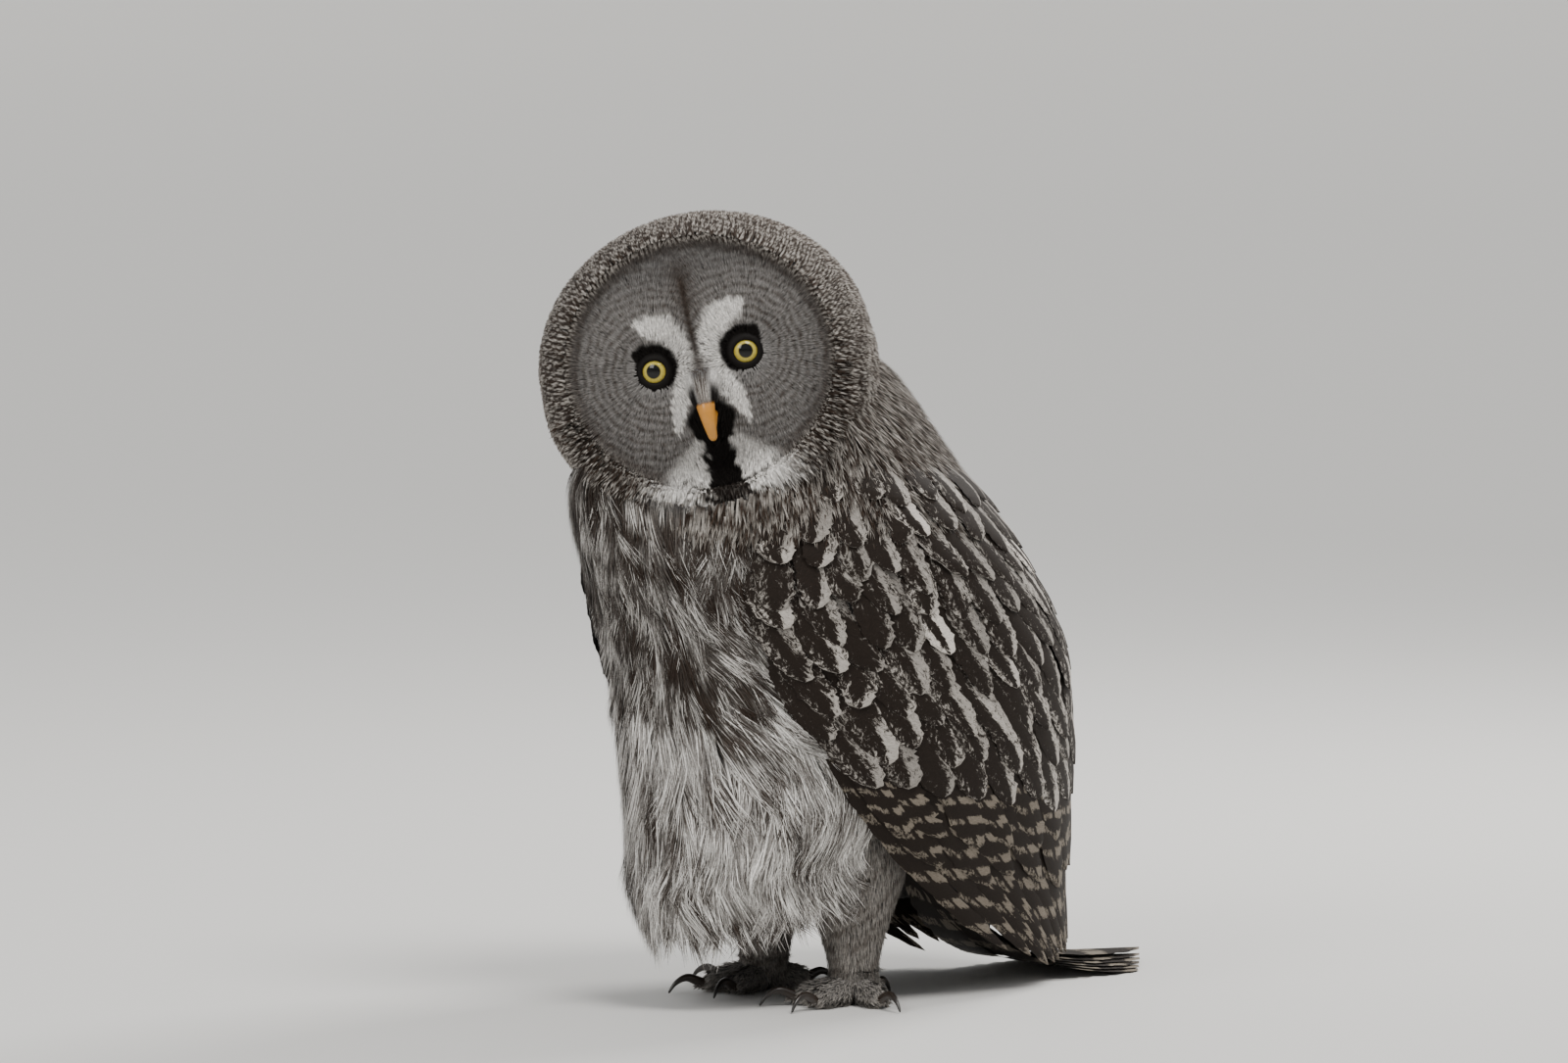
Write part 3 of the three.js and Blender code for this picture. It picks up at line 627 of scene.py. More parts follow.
SIDES = ((1, "left"), (-1, "right"))
STRAND_ROWS, LOCK_ROWS, BRISTLE_ROWS = 4, 5, 6
FACE_STRANDS, RIM_STRANDS, COLLAR_STRANDS, BRISTLES = 41000, 9000, 13000, 4600
HEAD_STRANDS, CAPE_STRANDS, VENT_STRANDS = 33000, 41000, 14000
LEG_STRANDS, FOOT_STRANDS = 8000, 9000
LOCK_HALF = 9.5  # half breadth of a lock of the breast
FACE_ROOM = 56.0  # how far ahead of the head's centre the room before the face begins


def lay(surface, p, q, vector, low, high, power, rows=STRAND_ROWS, swirl=None):
    """Centre lines of strands from roots at p, q along a vector, rising from low to high."""
    step_p, step_q = steps_for(surface, p, q, vector)
    t = np.linspace(0, 1, rows)[None]
    path_p = p[:, None] + step_p[:, None] * t
    path_q = q[:, None] + step_q[:, None] * t
    lift = low + (high - low) * t**power
    centre = surface(path_p, path_q, lift)
    facing = normal_at(surface, path_p, path_q, lift)
    if swirl is not None:
        reach = swirl[:, None] * t * t * np.linalg.norm(vector, axis=-1)[:, None]
        sideways = unit(np.cross(vector[:, None] + 0 * facing, facing))
        centre = centre + sideways * reach[..., None]
    return centre, facing


def leaning(flow, spread):
    """Directions that stray a little from a flow."""
    return unit(flow + rng.normal(0, spread, flow.shape))


def strands(centre, facing, tint, roots, shade, half, root_share=0.8):
    """The parts of a coat, each strand with a shade and a half width of its own."""
    count, rows = centre.shape[:2]
    if shade:
        tint = tint * rng.uniform(*shade, (count, 1, 1))
    taper = np.interp(np.linspace(0, 1, rows), [0, 0.45, 1], [root_share, 1, 0.06])
    return centre, facing, taper[None] * rng.uniform(*half, (count, 1)), tint, roots


def outside_head(points, margin):
    size = np.array((HEAD_HALF[0], HEAD_BACK_DEPTH, HEAD_HALF[1])) + margin
    return ((to_head(points) / size) ** 2).sum(-1) > 1


def before_face(points):
    """Whether points are in the room the breast feathers leave in front of the lower face."""
    local = to_head(points)
    depth = -local[..., 1]
    wide = 1 + 0.3 * (depth - 58) / 80
    share = np.hypot(local[..., 0] / (92 * wide), local[..., 2] / (85 * wide))
    return (depth > FACE_ROOM) & (share < 0.97)


def sift(parts):
    """Leave out strands that would hang in front of the face or pierce the floor."""
    centre = parts[0]
    keep = ~before_face(centre).any(1) & (centre[..., 2].min(1) > 20)
    return [part[keep] for part in parts]


def face_coat():
    """Strands that fan out from each eye, shorter at the eyes and at the rim."""
    x, z = rng.uniform(-1, 1, FACE_STRANDS), rng.uniform(-1, 1, FACE_STRANDS)
    inside = x * x + z * z < 0.985
    x, z = x[inside] * DISC_HALF[0], z[inside] * DISC_HALF[1]
    reach = np.hypot(np.abs(x) - EYE_SPREAD, z - EYE_HEIGHT)
    clear = (reach > 11.3) & ~((np.abs(x) < 6.5) & (z < -12) & (z > -50))
    x, z, reach = x[clear], z[clear], reach[clear]
    count = len(x)
    away = unit(np.stack((x - np.sign(x) * EYE_SPREAD, 0 * x, z - EYE_HEIGHT), -1))
    away[:, 0] += rng.normal(0, 0.12, count)
    away[:, 2] += rng.normal(0, 0.12, count)
    length = np.interp(reach, [11, 20, 45, 80], [3.8, 5.2, 6.6, 7.6]) * rng.uniform(0.8, 1.2, count)
    length = length * np.interp(disc_share(x, z), [0.9, 0.99], [1, 0.3])
    vector = unit(away) @ head_turn.T * length[:, None]
    high = rng.uniform(0.5, 1.8, (count, 1))
    centre, facing = lay(face, x, z, vector, -0.8, high, 1)
    spots = to_head(centre)
    tint = face_tint(spots[..., 0], spots[..., 2])
    roots = np.stack((x / DISC_HALF[0], z / DISC_HALF[1]), -1) / 2 + 0.5
    parts = strands(centre, facing, tint, roots, (0.8, 1.2), (0.28, 0.5), 0.7)
    return ribbons("face_feathers", *parts)


def rim_coat():
    """The ruff: feathers that point back from the rim of the face."""
    turn = rng.uniform(0, 2 * np.pi, RIM_STRANDS)
    start = rng.uniform(-0.03, 0.10, RIM_STRANDS)
    flow = np.stack((0.3 * np.sin(turn), 0.97 + 0 * turn, 0.3 * np.cos(turn)), -1)
    length = rng.uniform(6, 10, (RIM_STRANDS, 1))
    vector = leaning(flow, 0.12) @ head_turn.T * length
    high = rng.uniform(0.8, 2.4, (RIM_STRANDS, 1))
    centre, facing = lay(head_back, start, turn, vector, 0.2, high + 0.2, 0.8)
    t = steps(STRAND_ROWS, turn)
    tint = rim_tint(turn[:, None] + 0 * t, t, to_head(centre))
    roots = np.stack((turn / (2 * np.pi), (start + 0.05) * 4), -1)
    parts = strands(centre, facing, tint, roots, (0.75, 1.25), (0.4, 0.7))
    return ribbons("ruff_feathers", *parts)


def head_coat():
    """Crown, cheeks and nape, lying back and down."""
    turn = rng.uniform(0, 2 * np.pi, HEAD_STRANDS)
    start = 1 - np.sqrt(rng.uniform(0.0, 0.93, HEAD_STRANDS))
    flow = np.stack((0.15 * np.sin(turn), 1 + 0 * turn, 0 * turn), -1) @ head_turn.T
    length = rng.uniform(6, 9.5, (HEAD_STRANDS, 1))
    vector = leaning(flow + (0, 0, -0.55), 0.12) * length
    high = rng.uniform(0.3, 1.8, (HEAD_STRANDS, 1))
    centre, facing = lay(head_back, start, turn, vector, -2.5, high, 0.8)
    tint = crown_tint(centre, steps(STRAND_ROWS, turn))
    roots = np.stack((turn / (2 * np.pi), start), -1)
    parts = strands(centre, facing, tint, roots, (0.8, 1.2), (0.5, 0.85))
    return ribbons("head_feathers", *parts)


def cape_coat():
    """Neck, shoulders and mantle, lying down the back."""
    z = rng.uniform(322, 437, CAPE_STRANDS)
    angle = rng.uniform(-np.pi, np.pi, CAPE_STRANDS)
    keep = outside_head(cape(z, angle, 0.0), -6)
    z, angle = z[keep], angle[keep]
    flow = np.stack((0 * z, 0.35 * (np.cos(angle) < 0), 0 * z - 1), -1)
    length = rng.uniform(14, 22, (len(z), 1))
    vector = leaning(flow, 0.16) * length
    high = rng.uniform(0.5, 4.5, (len(z), 1))
    centre, facing = lay(cape, z, angle, vector, -3, high, 0.8)
    tint = crown_tint(centre, steps(STRAND_ROWS, z))
    roots = np.stack((angle / (2 * np.pi) + 0.5, (z - 318) / 120), -1)
    parts = strands(centre, facing, tint, roots, (0.8, 1.2), (0.6, 1.0))
    return ribbons("cape_feathers", *sift(parts))


def collar_coat():
    """Feathers that fan out from the lower rim of the face over the breast."""
    count = COLLAR_STRANDS
    turn = np.pi + rng.normal(0, 0.62, count).clip(-1.35, 1.35)
    share = rng.uniform(0.93, 1.03, count)
    right, down = np.sin(turn), -np.cos(turn)
    x, z = DISC_HALF[0] * share * right, -DISC_HALF[1] * share * down
    root = np.stack((x, -rng.uniform(48, 74, count), z), -1)
    root[:, (0, 2)] *= 1 + 0.3 * np.clip(-root[:, 1:2] - 60, 0, 20) / 80
    ahead = rng.uniform(0.2, 1.5, count) * smoothstep(down, -0.3, 0.4)
    away = leaning(np.stack((right, -ahead, -down), -1), 0.13)
    length = rng.uniform(8, 16, count) * np.interp(down, [0, 0.8], [0.55, 1])
    t = steps(STRAND_ROWS, turn)
    reach = length[:, None] * t
    line = root[:, None] + away[:, None] * reach[..., None]
    line[..., 1] += 0.25 * reach * t
    facing = unit(np.stack((0.4 * right, 0 * turn - 1, 0 * turn + 0.3), -1)) @ head_turn.T
    facing = np.repeat(facing[:, None], STRAND_ROWS, 1)
    tint = rim_tint(turn[:, None] + 0 * t, t, line)
    roots = np.stack((turn / (2 * np.pi), (share - 0.9) * 4), -1)
    parts = strands(from_head(line), facing, tint, roots, (0.75, 1.2), (0.45, 0.8))
    return ribbons("collar_feathers", *parts)


def bristle_coat():
    """Bristles that grow over the base of the bill and hide its upper half."""
    count, stations = BRISTLES, 120
    middle, wide, high = upper_bill_shape(stations)
    start = rng.uniform(0.0, 0.26, count)
    around = rng.normal(0, 0.85, count).clip(-2.2, 2.2)
    end = rng.uniform(0.38, 0.56, count) - 0.05 * np.abs(around)
    t = steps(BRISTLE_ROWS, start)
    along = start[:, None] + (end - start)[:, None] * t

    def on_bill(values):
        return np.interp(along * (stations - 1), np.arange(stations), values)

    upward = unit(np.cross((1.0, 0, 0), unit(np.gradient(middle, axis=0))))
    upward = upward * np.sign(upward[:, 2:3] - upward[:, 1:2])
    up = np.stack([on_bill(column) for column in upward.T], -1)
    line = np.stack([on_bill(column) for column in middle.T], -1)
    lift = 0.5 + rng.uniform(0, 1.6, (count, 1)) * np.sin(np.pi * np.clip(t * 0.8, 0, 1))
    flare = 1 + rng.uniform(-0.1, 0.45, (count, 1)) * (1 - t) ** 2
    right, over = np.sin(around)[:, None], np.cos(around)[:, None]
    line = line + ((on_bill(high) * flare + lift) * over)[..., None] * up
    line[..., 0] += (on_bill(wide) * flare + lift) * right
    line[..., 2] -= 4.0 * np.abs(right) * t**2
    facing = unit(np.stack((right + 0 * t, 0 * t, 0 * t), -1) + up * over[..., None])
    side_on = smoothstep(np.abs(around), 0.35, 0.75)[:, None] + 0 * t
    fleck = (rng.uniform(0, 1, count) < 0.55)[:, None] * (1 - side_on)
    tint = blend(blend(GREY * 1.1, PALE * 1.3, t), BROWN * 1.1, 0.8 * fleck)
    tint = blend(tint, WHITE * 0.8, side_on)
    tint = blend(tint, DARK * 0.7, smoothstep(along, 0.26, 0.40) * side_on)
    roots = np.stack((around / 5 + 0.5, start * 3), -1)
    parts = strands(from_head(line), facing @ head_turn.T, tint, roots, None, (0.25, 0.42), 0.9)
    return ribbons("bill_bristles", *parts)


def staggered(low, high, row_gap, column_gap, radius, past, most):
    """Feather roots in staggered rows, that reach past the wings' front edges by an angle."""
    heights, angles = [], []
    for k, z in enumerate(np.arange(high, low, -row_gap)):
        edge = min(float(wing_front(z)) + past, most)
        columns = max(3, int(round(2 * edge * radius / column_gap)))
        places = (np.arange(columns) + 0.5 + 0.5 * (k % 2)) / columns * 2 - 1
        angles.append(edge * places)
        heights.append(np.full(columns, z))
    z, angle = np.concatenate(heights), np.concatenate(angles)
    z = z + rng.normal(0, row_gap * 0.18, len(z))
    return z, angle + rng.normal(0, 0.22 * column_gap / radius, len(z))


def flank_flow(z, angle):
    """Down the breast, sweeping out over the front edges of the wings at mid height."""
    sweep = smoothstep(np.abs(angle), 0.10, 0.55) * smoothstep(z, 130, 205)
    sweep = 0.95 * sweep * (1 - smoothstep(z, 275, 330)) * np.sign(angle)
    return np.stack((np.cos(angle) * sweep, np.sin(angle) * sweep, 0 * z - 1), -1)


def lock_coat(name, places, sway, lengths, lifts, per, tint_of, roots_of):
    """Loose feathers: each is a lock of strands that draw together towards its tip."""
    z, angle = places
    count = len(z)
    flow = flank_flow(z, angle)
    flow[:, 0] += rng.normal(0, sway, count)
    length = rng.uniform(*lengths, count) * np.interp(z, [80, 110], [0.72, 1])
    vector = unit(flow) * length[:, None]
    lift = rng.uniform(*lifts, (count, 1))
    share = rng.normal(0, 0.5, (count, per)).clip(-1.15, 1.15)
    slip = rng.uniform(-0.22, 0.12, (count, per, 1))
    across = unit(np.cross(unit(vector), normal_at(torso, z, angle, 0.0)))
    aside = across[:, None] * (share * LOCK_HALF)[..., None]
    wide_z, wide_angle = (np.repeat(v[:, None], per, 1) for v in (z, angle))
    start = 0.75 * aside + vector[:, None] * slip
    step_z, step_angle = steps_for(torso, wide_z, wide_angle, start)
    root_z, root_angle = (wide_z + step_z).ravel(), (wide_angle + step_angle).ravel()
    stray = rng.normal(0, 0.05, (count, per, 3)) * length[:, None, None]
    reach = rng.uniform(0.75, 1.08, (count, per, 1))
    lines = (vector[:, None] * reach - 0.32 * aside + stray).reshape(-1, 3)
    high = (lift + rng.normal(0, 0.9, (count, per))).reshape(-1, 1)
    swirl = np.repeat(rng.normal(0, 0.14, count), per) + rng.normal(0, 0.04, count * per)
    centre, facing = lay(torso, root_z, root_angle, lines, -5, high, 0.7, LOCK_ROWS, swirl)
    lock = np.repeat(np.arange(count), per)
    tint = tint_of(lock, share.ravel(), steps(LOCK_ROWS, root_z), centre)
    roots = np.stack(roots_of(root_z, root_angle), -1)
    parts = strands(centre, facing, tint, roots, (0.8, 1.12), (0.32, 0.68), 0.75)
    return ribbons(name, *sift(parts))


def breast_coat():
    places = staggered(205, 352, 10, 13, 145, 0.10, np.pi)

    def roots_of(z, angle):
        return angle / np.pi + 0.5, (z - 180) / 200

    tint_of = breast_tint(1.25, 0.28)
    return lock_coat("breast_feathers", places, 0.12, (36, 50), (0.5, 4.0), 78, tint_of, roots_of)


def belly_coat():
    places = staggered(80, 214, 12, 14, 125, 0.35, 2.2)

    def roots_of(z, angle):
        return angle / (1.6 * np.pi) + 0.5, (z - 50) / 180

    tint_of = breast_tint(0.75, 0.82)
    return lock_coat("belly_feathers", places, 0.17, (48, 70), (0.0, 5.5), 84, tint_of, roots_of)


def vent_coat():
    """Soft feathers of the underside and the rump, under the folded wings."""
    count = VENT_STRANDS
    z = rng.uniform(64, 230, count)
    angle = rng.uniform(1.3, 2 * np.pi - 1.3, count)
    length = rng.uniform(18, 30, (count, 1))
    vector = leaning(np.tile((0, 0.8, -0.7), (count, 1)), 0.2) * length
    high = rng.uniform(0.5, 3.5, (count, 1))
    centre, facing = lay(body, z, angle, vector, -9, high - 5, 0.8)
    tint = barred_tint(centre, steps(STRAND_ROWS, z), PALE, BROWN * 1.3, 0.6, 9, 71)
    roots = np.stack((angle / (2 * np.pi), (z - 60) / 180), -1)
    parts = strands(centre, facing, tint, roots, (0.8, 1.15), (0.8, 1.4))
    return ribbons("vent_feathers", *sift(parts))


def leg_coat():
    sets = []
    for side, _ in SIDES:
        count = LEG_STRANDS
        z = rng.uniform(16, 120, count)
        angle = rng.uniform(0, 2 * np.pi, count)
        vector = leaning(np.tile((0, 0, -1), (count, 1)), 0.12) * rng.uniform(8, 15, (count, 1))
        high = rng.uniform(0.3, 1.6, (count, 1))
        centre, facing = lay(leg(side), z, angle, vector, -2, high, 1)
        tint = barred_tint(centre, steps(STRAND_ROWS, z), PALE * 1.1, BROWN * 1.4, 0.55, 8, 61)
        roots = np.stack(((angle / (2 * np.pi) + (side > 0)) / 2, (z - 10) / 120), -1)
        sets.append(strands(centre, facing, tint, roots, (0.8, 1.15), (0.5, 0.9)))
    parts = [np.concatenate(group) for group in zip(*sets)]
    clear = (parts[0][..., 2] > GROUND).all(1)
    return ribbons("leg_feathers", *[part[clear] for part in parts])


def points_of(mesh):
    points = np.empty(len(mesh.vertices) * 3, np.float32)
    mesh.vertices.foreach_get("co", points)
    return (points.reshape(-1, 3) - shift) / METRES


def scatter(node, count):
    """Random points and normals over a solid of the frame, in millimetres."""
    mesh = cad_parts[node].data
    mesh.calc_loop_triangles()
    triangles = np.empty(len(mesh.loop_triangles) * 3, np.int32)
    mesh.loop_triangles.foreach_get("vertices", triangles)
    a, b, c = points_of(mesh)[triangles.reshape(-1, 3)].swapaxes(0, 1)
    cross = np.cross(b - a, c - a)
    area = np.linalg.norm(cross, axis=1)
    pick = rng.choice(len(area), count, p=area / area.sum())
    r, s = rng.uniform(0, 1, (2, count, 1))
    flip = r + s > 1
    r, s = np.where(flip, 1 - r, r), np.where(flip, 1 - s, s)
    return a[pick] + r * (b - a)[pick] + s * (c - a)[pick], unit(cross[pick])


def foot_coat():
    """Short feathers that fan out over the toes from under the leg."""
    sets = []
    for side, name in SIDES:
        root, normal = scatter(f"foot_{name}", FOOT_STRANDS)
        top = (normal[:, 2] > -0.4) & (root[:, 2] > 1.2)
        root, normal = root[top], normal[top]
        outward = root - np.array((side * LEG_SPREAD, LEG_Y, 30))
        outward[:, 2] = -6
        flow = outward - normal * (outward * normal).sum(1, keepdims=True)
        vector = leaning(unit(flow), 0.15) * rng.uniform(4, 7.5, (len(root), 1))
        t = steps(STRAND_ROWS, root[:, 0])[..., None]
        centre = root[:, None] + vector[:, None] * t
        centre = centre + normal[:, None] * (-0.6 + 1.6 * t) + (0, 0, -0.6) * t * t
        centre[..., 2] = np.maximum(centre[..., 2], GROUND)
        facing = np.repeat(normal[:, None], STRAND_ROWS, 1)
        tint = blend(GREY * 0.9, PALE * 1.15, t[..., 0])
        across = (root[:, 0] * side + 20) / 240 + (side > 0) / 2
        roots = np.stack((across, (root[:, 1] + 90) / 150), -1)
        sets.append(strands(centre, facing, tint, roots, (0.75, 1.15), (0.4, 0.7)))
    return ribbons("foot_feathers", *[np.concatenate(group) for group in zip(*sets)])


# The large feathers of wings and tail

# Tip heights from the wing's front to its back, root height, count, half width, lift, kind
WING_TIERS = [
    ([32, 18, 12, 20, 24, 25, 28, 36], 168, 13, 11.5, 1.2, "flight"),
    ([92, 80, 72, 72, 76, 82], 190, 9, 16, 2.4, "flight"),
    ([120, 108, 98, 94, 96, 100], 200, 10, 15, 2.8, "flight"),
    ([150, 140, 130, 124, 122, 122], 216, 12, 14.5, 3.2, "covert"),
    ([176, 166, 156, 150, 148, 150], 236, 13, 14, 3.5, "covert"),
    ([202, 192, 182, 176, 174, 176], 258, 14, 13.5, 3.6, "covert"),
    ([226, 217, 207, 201, 200, 202], 280, 14, 13, 3.7, "scapular"),
    ([250, 242, 232, 226, 225, 228], 300, 14, 12.5, 3.8, "scapular"),
    ([272, 266, 257, 251, 250, 252], 318, 14, 12, 3.9, "scapular"),
    ([292, 288, 281, 276, 275, 277], 336, 14, 11.5, 4.0, "scapular"),
    ([312, 309, 304, 300, 299, 301], 352, 13, 11, 4.0, "scapular"),
    ([332, 330, 326, 323, 322, 324], 366, 12, 10.5, 3.8, "scapular"),
]
WING_GRID, TAIL_GRID = (34, 11), (60, 13)  # points along and across each vane
WING_CELLS, TAIL_CELLS = 13, 4  # vanes side by side on the unwrapped skin
VANE_STEP = 0.004  # share of the wing's breadth over which its scale is measured
TAIL_VANES, TAIL_HALF, TAIL_START = 12, 21.0, 0.12
FLIGHT_BARS = 7.0


def vane_profile(v, pointed):
    """Half width along a feather from root to tip, as a share of its widest."""
    start = 0.45 if pointed else 0.68
    tip = np.sqrt(np.clip(1 - ((v - start) / (1 - start)) ** 2, 0, 1))
    return np.interp(v, [0, 0.12, 0.4, 0.75], [0.55, 0.8, 1.0, 1.0]) * np.where(v > start, tip, 1.0)


def own_value(k, seed, low, high):
    """A value of its own for each feather k."""
    return np.random.default_rng(seed).uniform(low, high, int(k.max()) + 1)[k]


def flight_marks(k, v, u, wander, seed):
    """Bars across a flight feather, broken at its shaft, and a pale tip."""
    edge = np.abs(u)
    phase = v * 2 * np.pi * FLIGHT_BARS + own_value(k, seed + 6, 0, 6.3)
    bars = 0.5 + 0.5 * np.cos(phase + 1.2 * edge + 0.9 * wander)
    cover = 0.85 * smoothstep(bars, 0.52, 0.72) * smoothstep(edge, 0.02, 0.12)
    cover = cover * (0.62 + 0.38 * smoothstep(u, -0.3, 0.2))
    cover = np.maximum(cover, 0.5 * smoothstep(v, 0.93, 0.985))
    return np.zeros(v.shape + (3,)) + PALE * (0.648, 0.6, 0.528), cover


def covert_marks(k, v, u, wander, seed, scapular):
    """A dark shaft between mottled webs, paler on the outer web and at the tip."""
    edge = np.abs(u)
    shaft = 1 - smoothstep(edge, 0.04 + 0.12 * wander, 0.36 + 0.1 * wander)
    outer = smoothstep(u + 0.3 * wander, -0.05, 0.75)
    tip = smoothstep(v, 0.80, 0.96) * (0.5 + 0.5 * outer)
    cover = (0.27 + 0.30 * outer) * (1 - 0.85 * shaft) + 0.12 * tip + 0.16 * wander
    light = own_value(k, seed + 7, 0.7, 1.2) * (0.72 + 0.28 * smoothstep(v, 0.35, 0.9))
    if scapular:
        bright = (own_value(k, seed + 8, 0, 1) > 0.88) & (k > 1)
        light = light * np.where(bright, 1.5, 0.95)
        cover = cover + 0.3 * bright * smoothstep(edge, 0.25, 0.5)
    return PALE * 1.35 * light[..., None], np.clip(cover, 0, 1)


def vane_marks(kind, k, v, u, seed):
    """Markings of a large feather: the colour of its pale parts and how much they cover."""
    wander = waves(np.stack((k * 31.7, v * 4, u * 1.3), -1), 3.0, seed)
    if kind == "flight":
        return flight_marks(k, v, u, wander, seed)
    return covert_marks(k, v, u, wander, seed, kind == "scapular")


def vanes(place, count, grid, half, pointed, kind, cells, first, mark_seed, seed):
    """Feathers as fine grids: place(k, t, sideways, u) gives points of feather k."""
    rows, columns = grid
    shape = (count, rows, columns)
    k = np.zeros(shape, int) + np.arange(count)[:, None, None]
    v = np.zeros(shape) + (np.linspace(0, 1, rows) ** 0.9)[:, None]
    u = np.zeros(shape) + np.linspace(-1, 1, columns)
    ragged = 1 + np.random.default_rng(seed).normal(0, 0.07, (count, rows, 2))
    edge = np.where(u < 0, ragged[..., :1], ragged[..., 1:])
    width = vane_profile(v, pointed) * half[:, None, None] * (1 + (edge - 1) * np.abs(u) ** 3)
    centre = place(k, v, u * width, u)
    span = np.linalg.norm(np.diff(centre, axis=1), axis=-1)
    along = np.concatenate((np.zeros((count, 1, columns)), np.cumsum(span, 1)), 1)
    web = np.stack((u * width, along - 0.8 * np.abs(u * width), k * 17.3 + seed), -1)
    tint, cover = vane_marks(kind, k, v, u, mark_seed)
    cell = np.stack(((k + first) % cells, (k + first) // cells), -1)
    patch = (cell + 0.02 + 0.96 * np.stack(((u + 1) / 2, v), -1)) / cells
    flat = [part.reshape(-1, part.shape[-1]) for part in (centre, tint, patch, web)]
    return (*flat, cover.ravel(), grid_quads(rows, columns, count))


def vane_mesh(name, sets):
    """Join sets of vanes into one object that carries their own coordinates."""
    *parts, quads = zip(*sets)
    starts = np.cumsum([0] + [len(points) for points in parts[0]])
    quads = np.concatenate([own + start for own, start in zip(quads, starts)])
    points, tint, patch, web, cover = (np.concatenate(group) for group in parts)
    piece = make_mesh(name, points, quads, vane_material, tint, patch)
    layer = piece.data.attributes.new("Web", "FLOAT_VECTOR", "POINT")
    layer.data.foreach_set("vector", web.astype(np.float32).ravel())
    layer = piece.data.attributes.new("Cover", "FLOAT", "POINT")
    layer.data.foreach_set("value", cover.astype(np.float32))
    return piece


def wing_piece(side, name):
    surface = wing(side)
    sets, first = [], 0
    for order, (tips, root_z, count, half, lift, kind) in enumerate(WING_TIERS):
        share = (np.arange(count) + 0.5 + 0.25 * (order % 2)) / count
        slant = 0.05 if order == 0 else 0.15
        start = 0.01 + 0.965 * share - slant * share * (1 - share**4)
        end = 0.03 + 0.955 * share + rng.normal(0, 0.006, count)
        uneven = rng.normal(0, 2.8 if order < 3 else 4.6, count)
        tip_z = np.interp(share, np.linspace(0, 1, len(tips)), tips) + uneven
        raised = lift + rng.normal(0, 0.4, count)
        size = half * rng.uniform(0.9, 1.1, count)
        roll = rng.normal(0.5, 0.2, count)
        bow = rng.normal(0.01, 0.015, count)

        def place(k, t, sideways, u):
            z = root_z + (tip_z[k] - root_z) * t
            across = start[k] + (end[k] - start[k]) * t + bow[k] * np.sin(np.pi * t)
            breadth = surface(across + VANE_STEP, z, 0.0) - surface(across - VANE_STEP, z, 0.0)
            scale = np.linalg.norm(breadth, axis=-1) / (2 * VANE_STEP)
            rise = -2.6 + (raised[k] + 2.6) * np.minimum(1, t * 1.2) ** 0.8
            rise = rise + roll[k] * u - 0.7 * u * u
            moved = np.clip(across + sideways / np.maximum(scale, 20), -0.3, 1.0)
            return surface(moved, z, rise)

        seeds = (50 + order, 900 + order)
        shape = (count, WING_GRID, size, order == 0, kind)
        sets.append(vanes(place, *shape, WING_CELLS, first, *seeds))
        first += count
    return vane_mesh(name, sets)


TAIL_CURVE = np.array(((0, 66, 176), (0, 96, 22), (0, 150, 9.2), (0, TAIL_REACH, 9.2)), float)


def tail_point(t, x, up):
    """A point a share t along the curve of the tail, x to its side and up from it."""
    t = np.asarray(t)[..., None]
    a, b, c, d = TAIL_CURVE
    centre = (1 - t) ** 3 * a + 3 * (1 - t) ** 2 * t * b + 3 * (1 - t) * t * t * c + t**3 * d
    along = unit(3 * (1 - t) ** 2 * (b - a) + 6 * (1 - t) * t * (c - b) + 3 * t * t * (d - c))
    point = centre + np.stack((x, -up * along[..., 2], up * along[..., 1]), -1)
    point[..., 2] = np.maximum(point[..., 2], 0.15)
    return point


def tail_piece():
    """Six pairs of vanes, the middle pair on top."""
    order = np.repeat(np.arange(TAIL_VANES // 2), 2)
    side = np.tile((1, -1), TAIL_VANES // 2)
    level = np.where(order == 0, (1 - side) / 2, order + 1)
    length = 1 - 0.02 * order
    spread = side * (3 + 9.4 * order)

    def place(k, t, sideways, u):
        along = TAIL_START + (length[k] - TAIL_START) * t
        x = spread[k] * along**1.5 + sideways * (0.75 + 0.25 * along)
        return tail_point(along, x, -1.42 * level[k] - 0.5 * u * u)

    half = np.full(TAIL_VANES, TAIL_HALF)
    shape = (TAIL_VANES, TAIL_GRID, half, False, "flight")
    return vane_mesh("tail_feathers", [vanes(place, *shape, TAIL_CELLS, 0, 70, 990)])


# The skin under the plumage

FACE_SHARE = 0.45  # how much of the head's skin, from the middle of the face, is the face


def closed_tube(surface, p, q, lift):
    """Points and faces of a tube over a surface's coordinates, its ends drawn to a point."""
    grid = surface(p[:, None] + 0 * q, q + 0 * p[:, None], lift)
    points = np.concatenate((grid.reshape(-1, 3), grid[:1].mean(1), grid[-1:].mean(1)))
    size, top = len(q), (len(p) - 1) * len(q)
    first, last = top + size, top + size + 1
    faces = grid_quads(len(p), size, wrap=True).tolist()
    faces += [(first, (j + 1) % size, j) for j in range(size)]
    faces += [(last, top + j, top + (j + 1) % size) for j in range(size)]
    return points, faces


def wing_core(side):
    """The flesh of a folded wing, a thin shell under its feathers."""
    surface = wing(side)

    def shell(z, turn, lift):
        outer = turn < np.pi
        across = np.where(outer, turn / np.pi, 2 - turn / np.pi)
        return surface(0.03 + 0.95 * across, z, np.where(outer, -3.2, -9.0) + lift)

    return shell


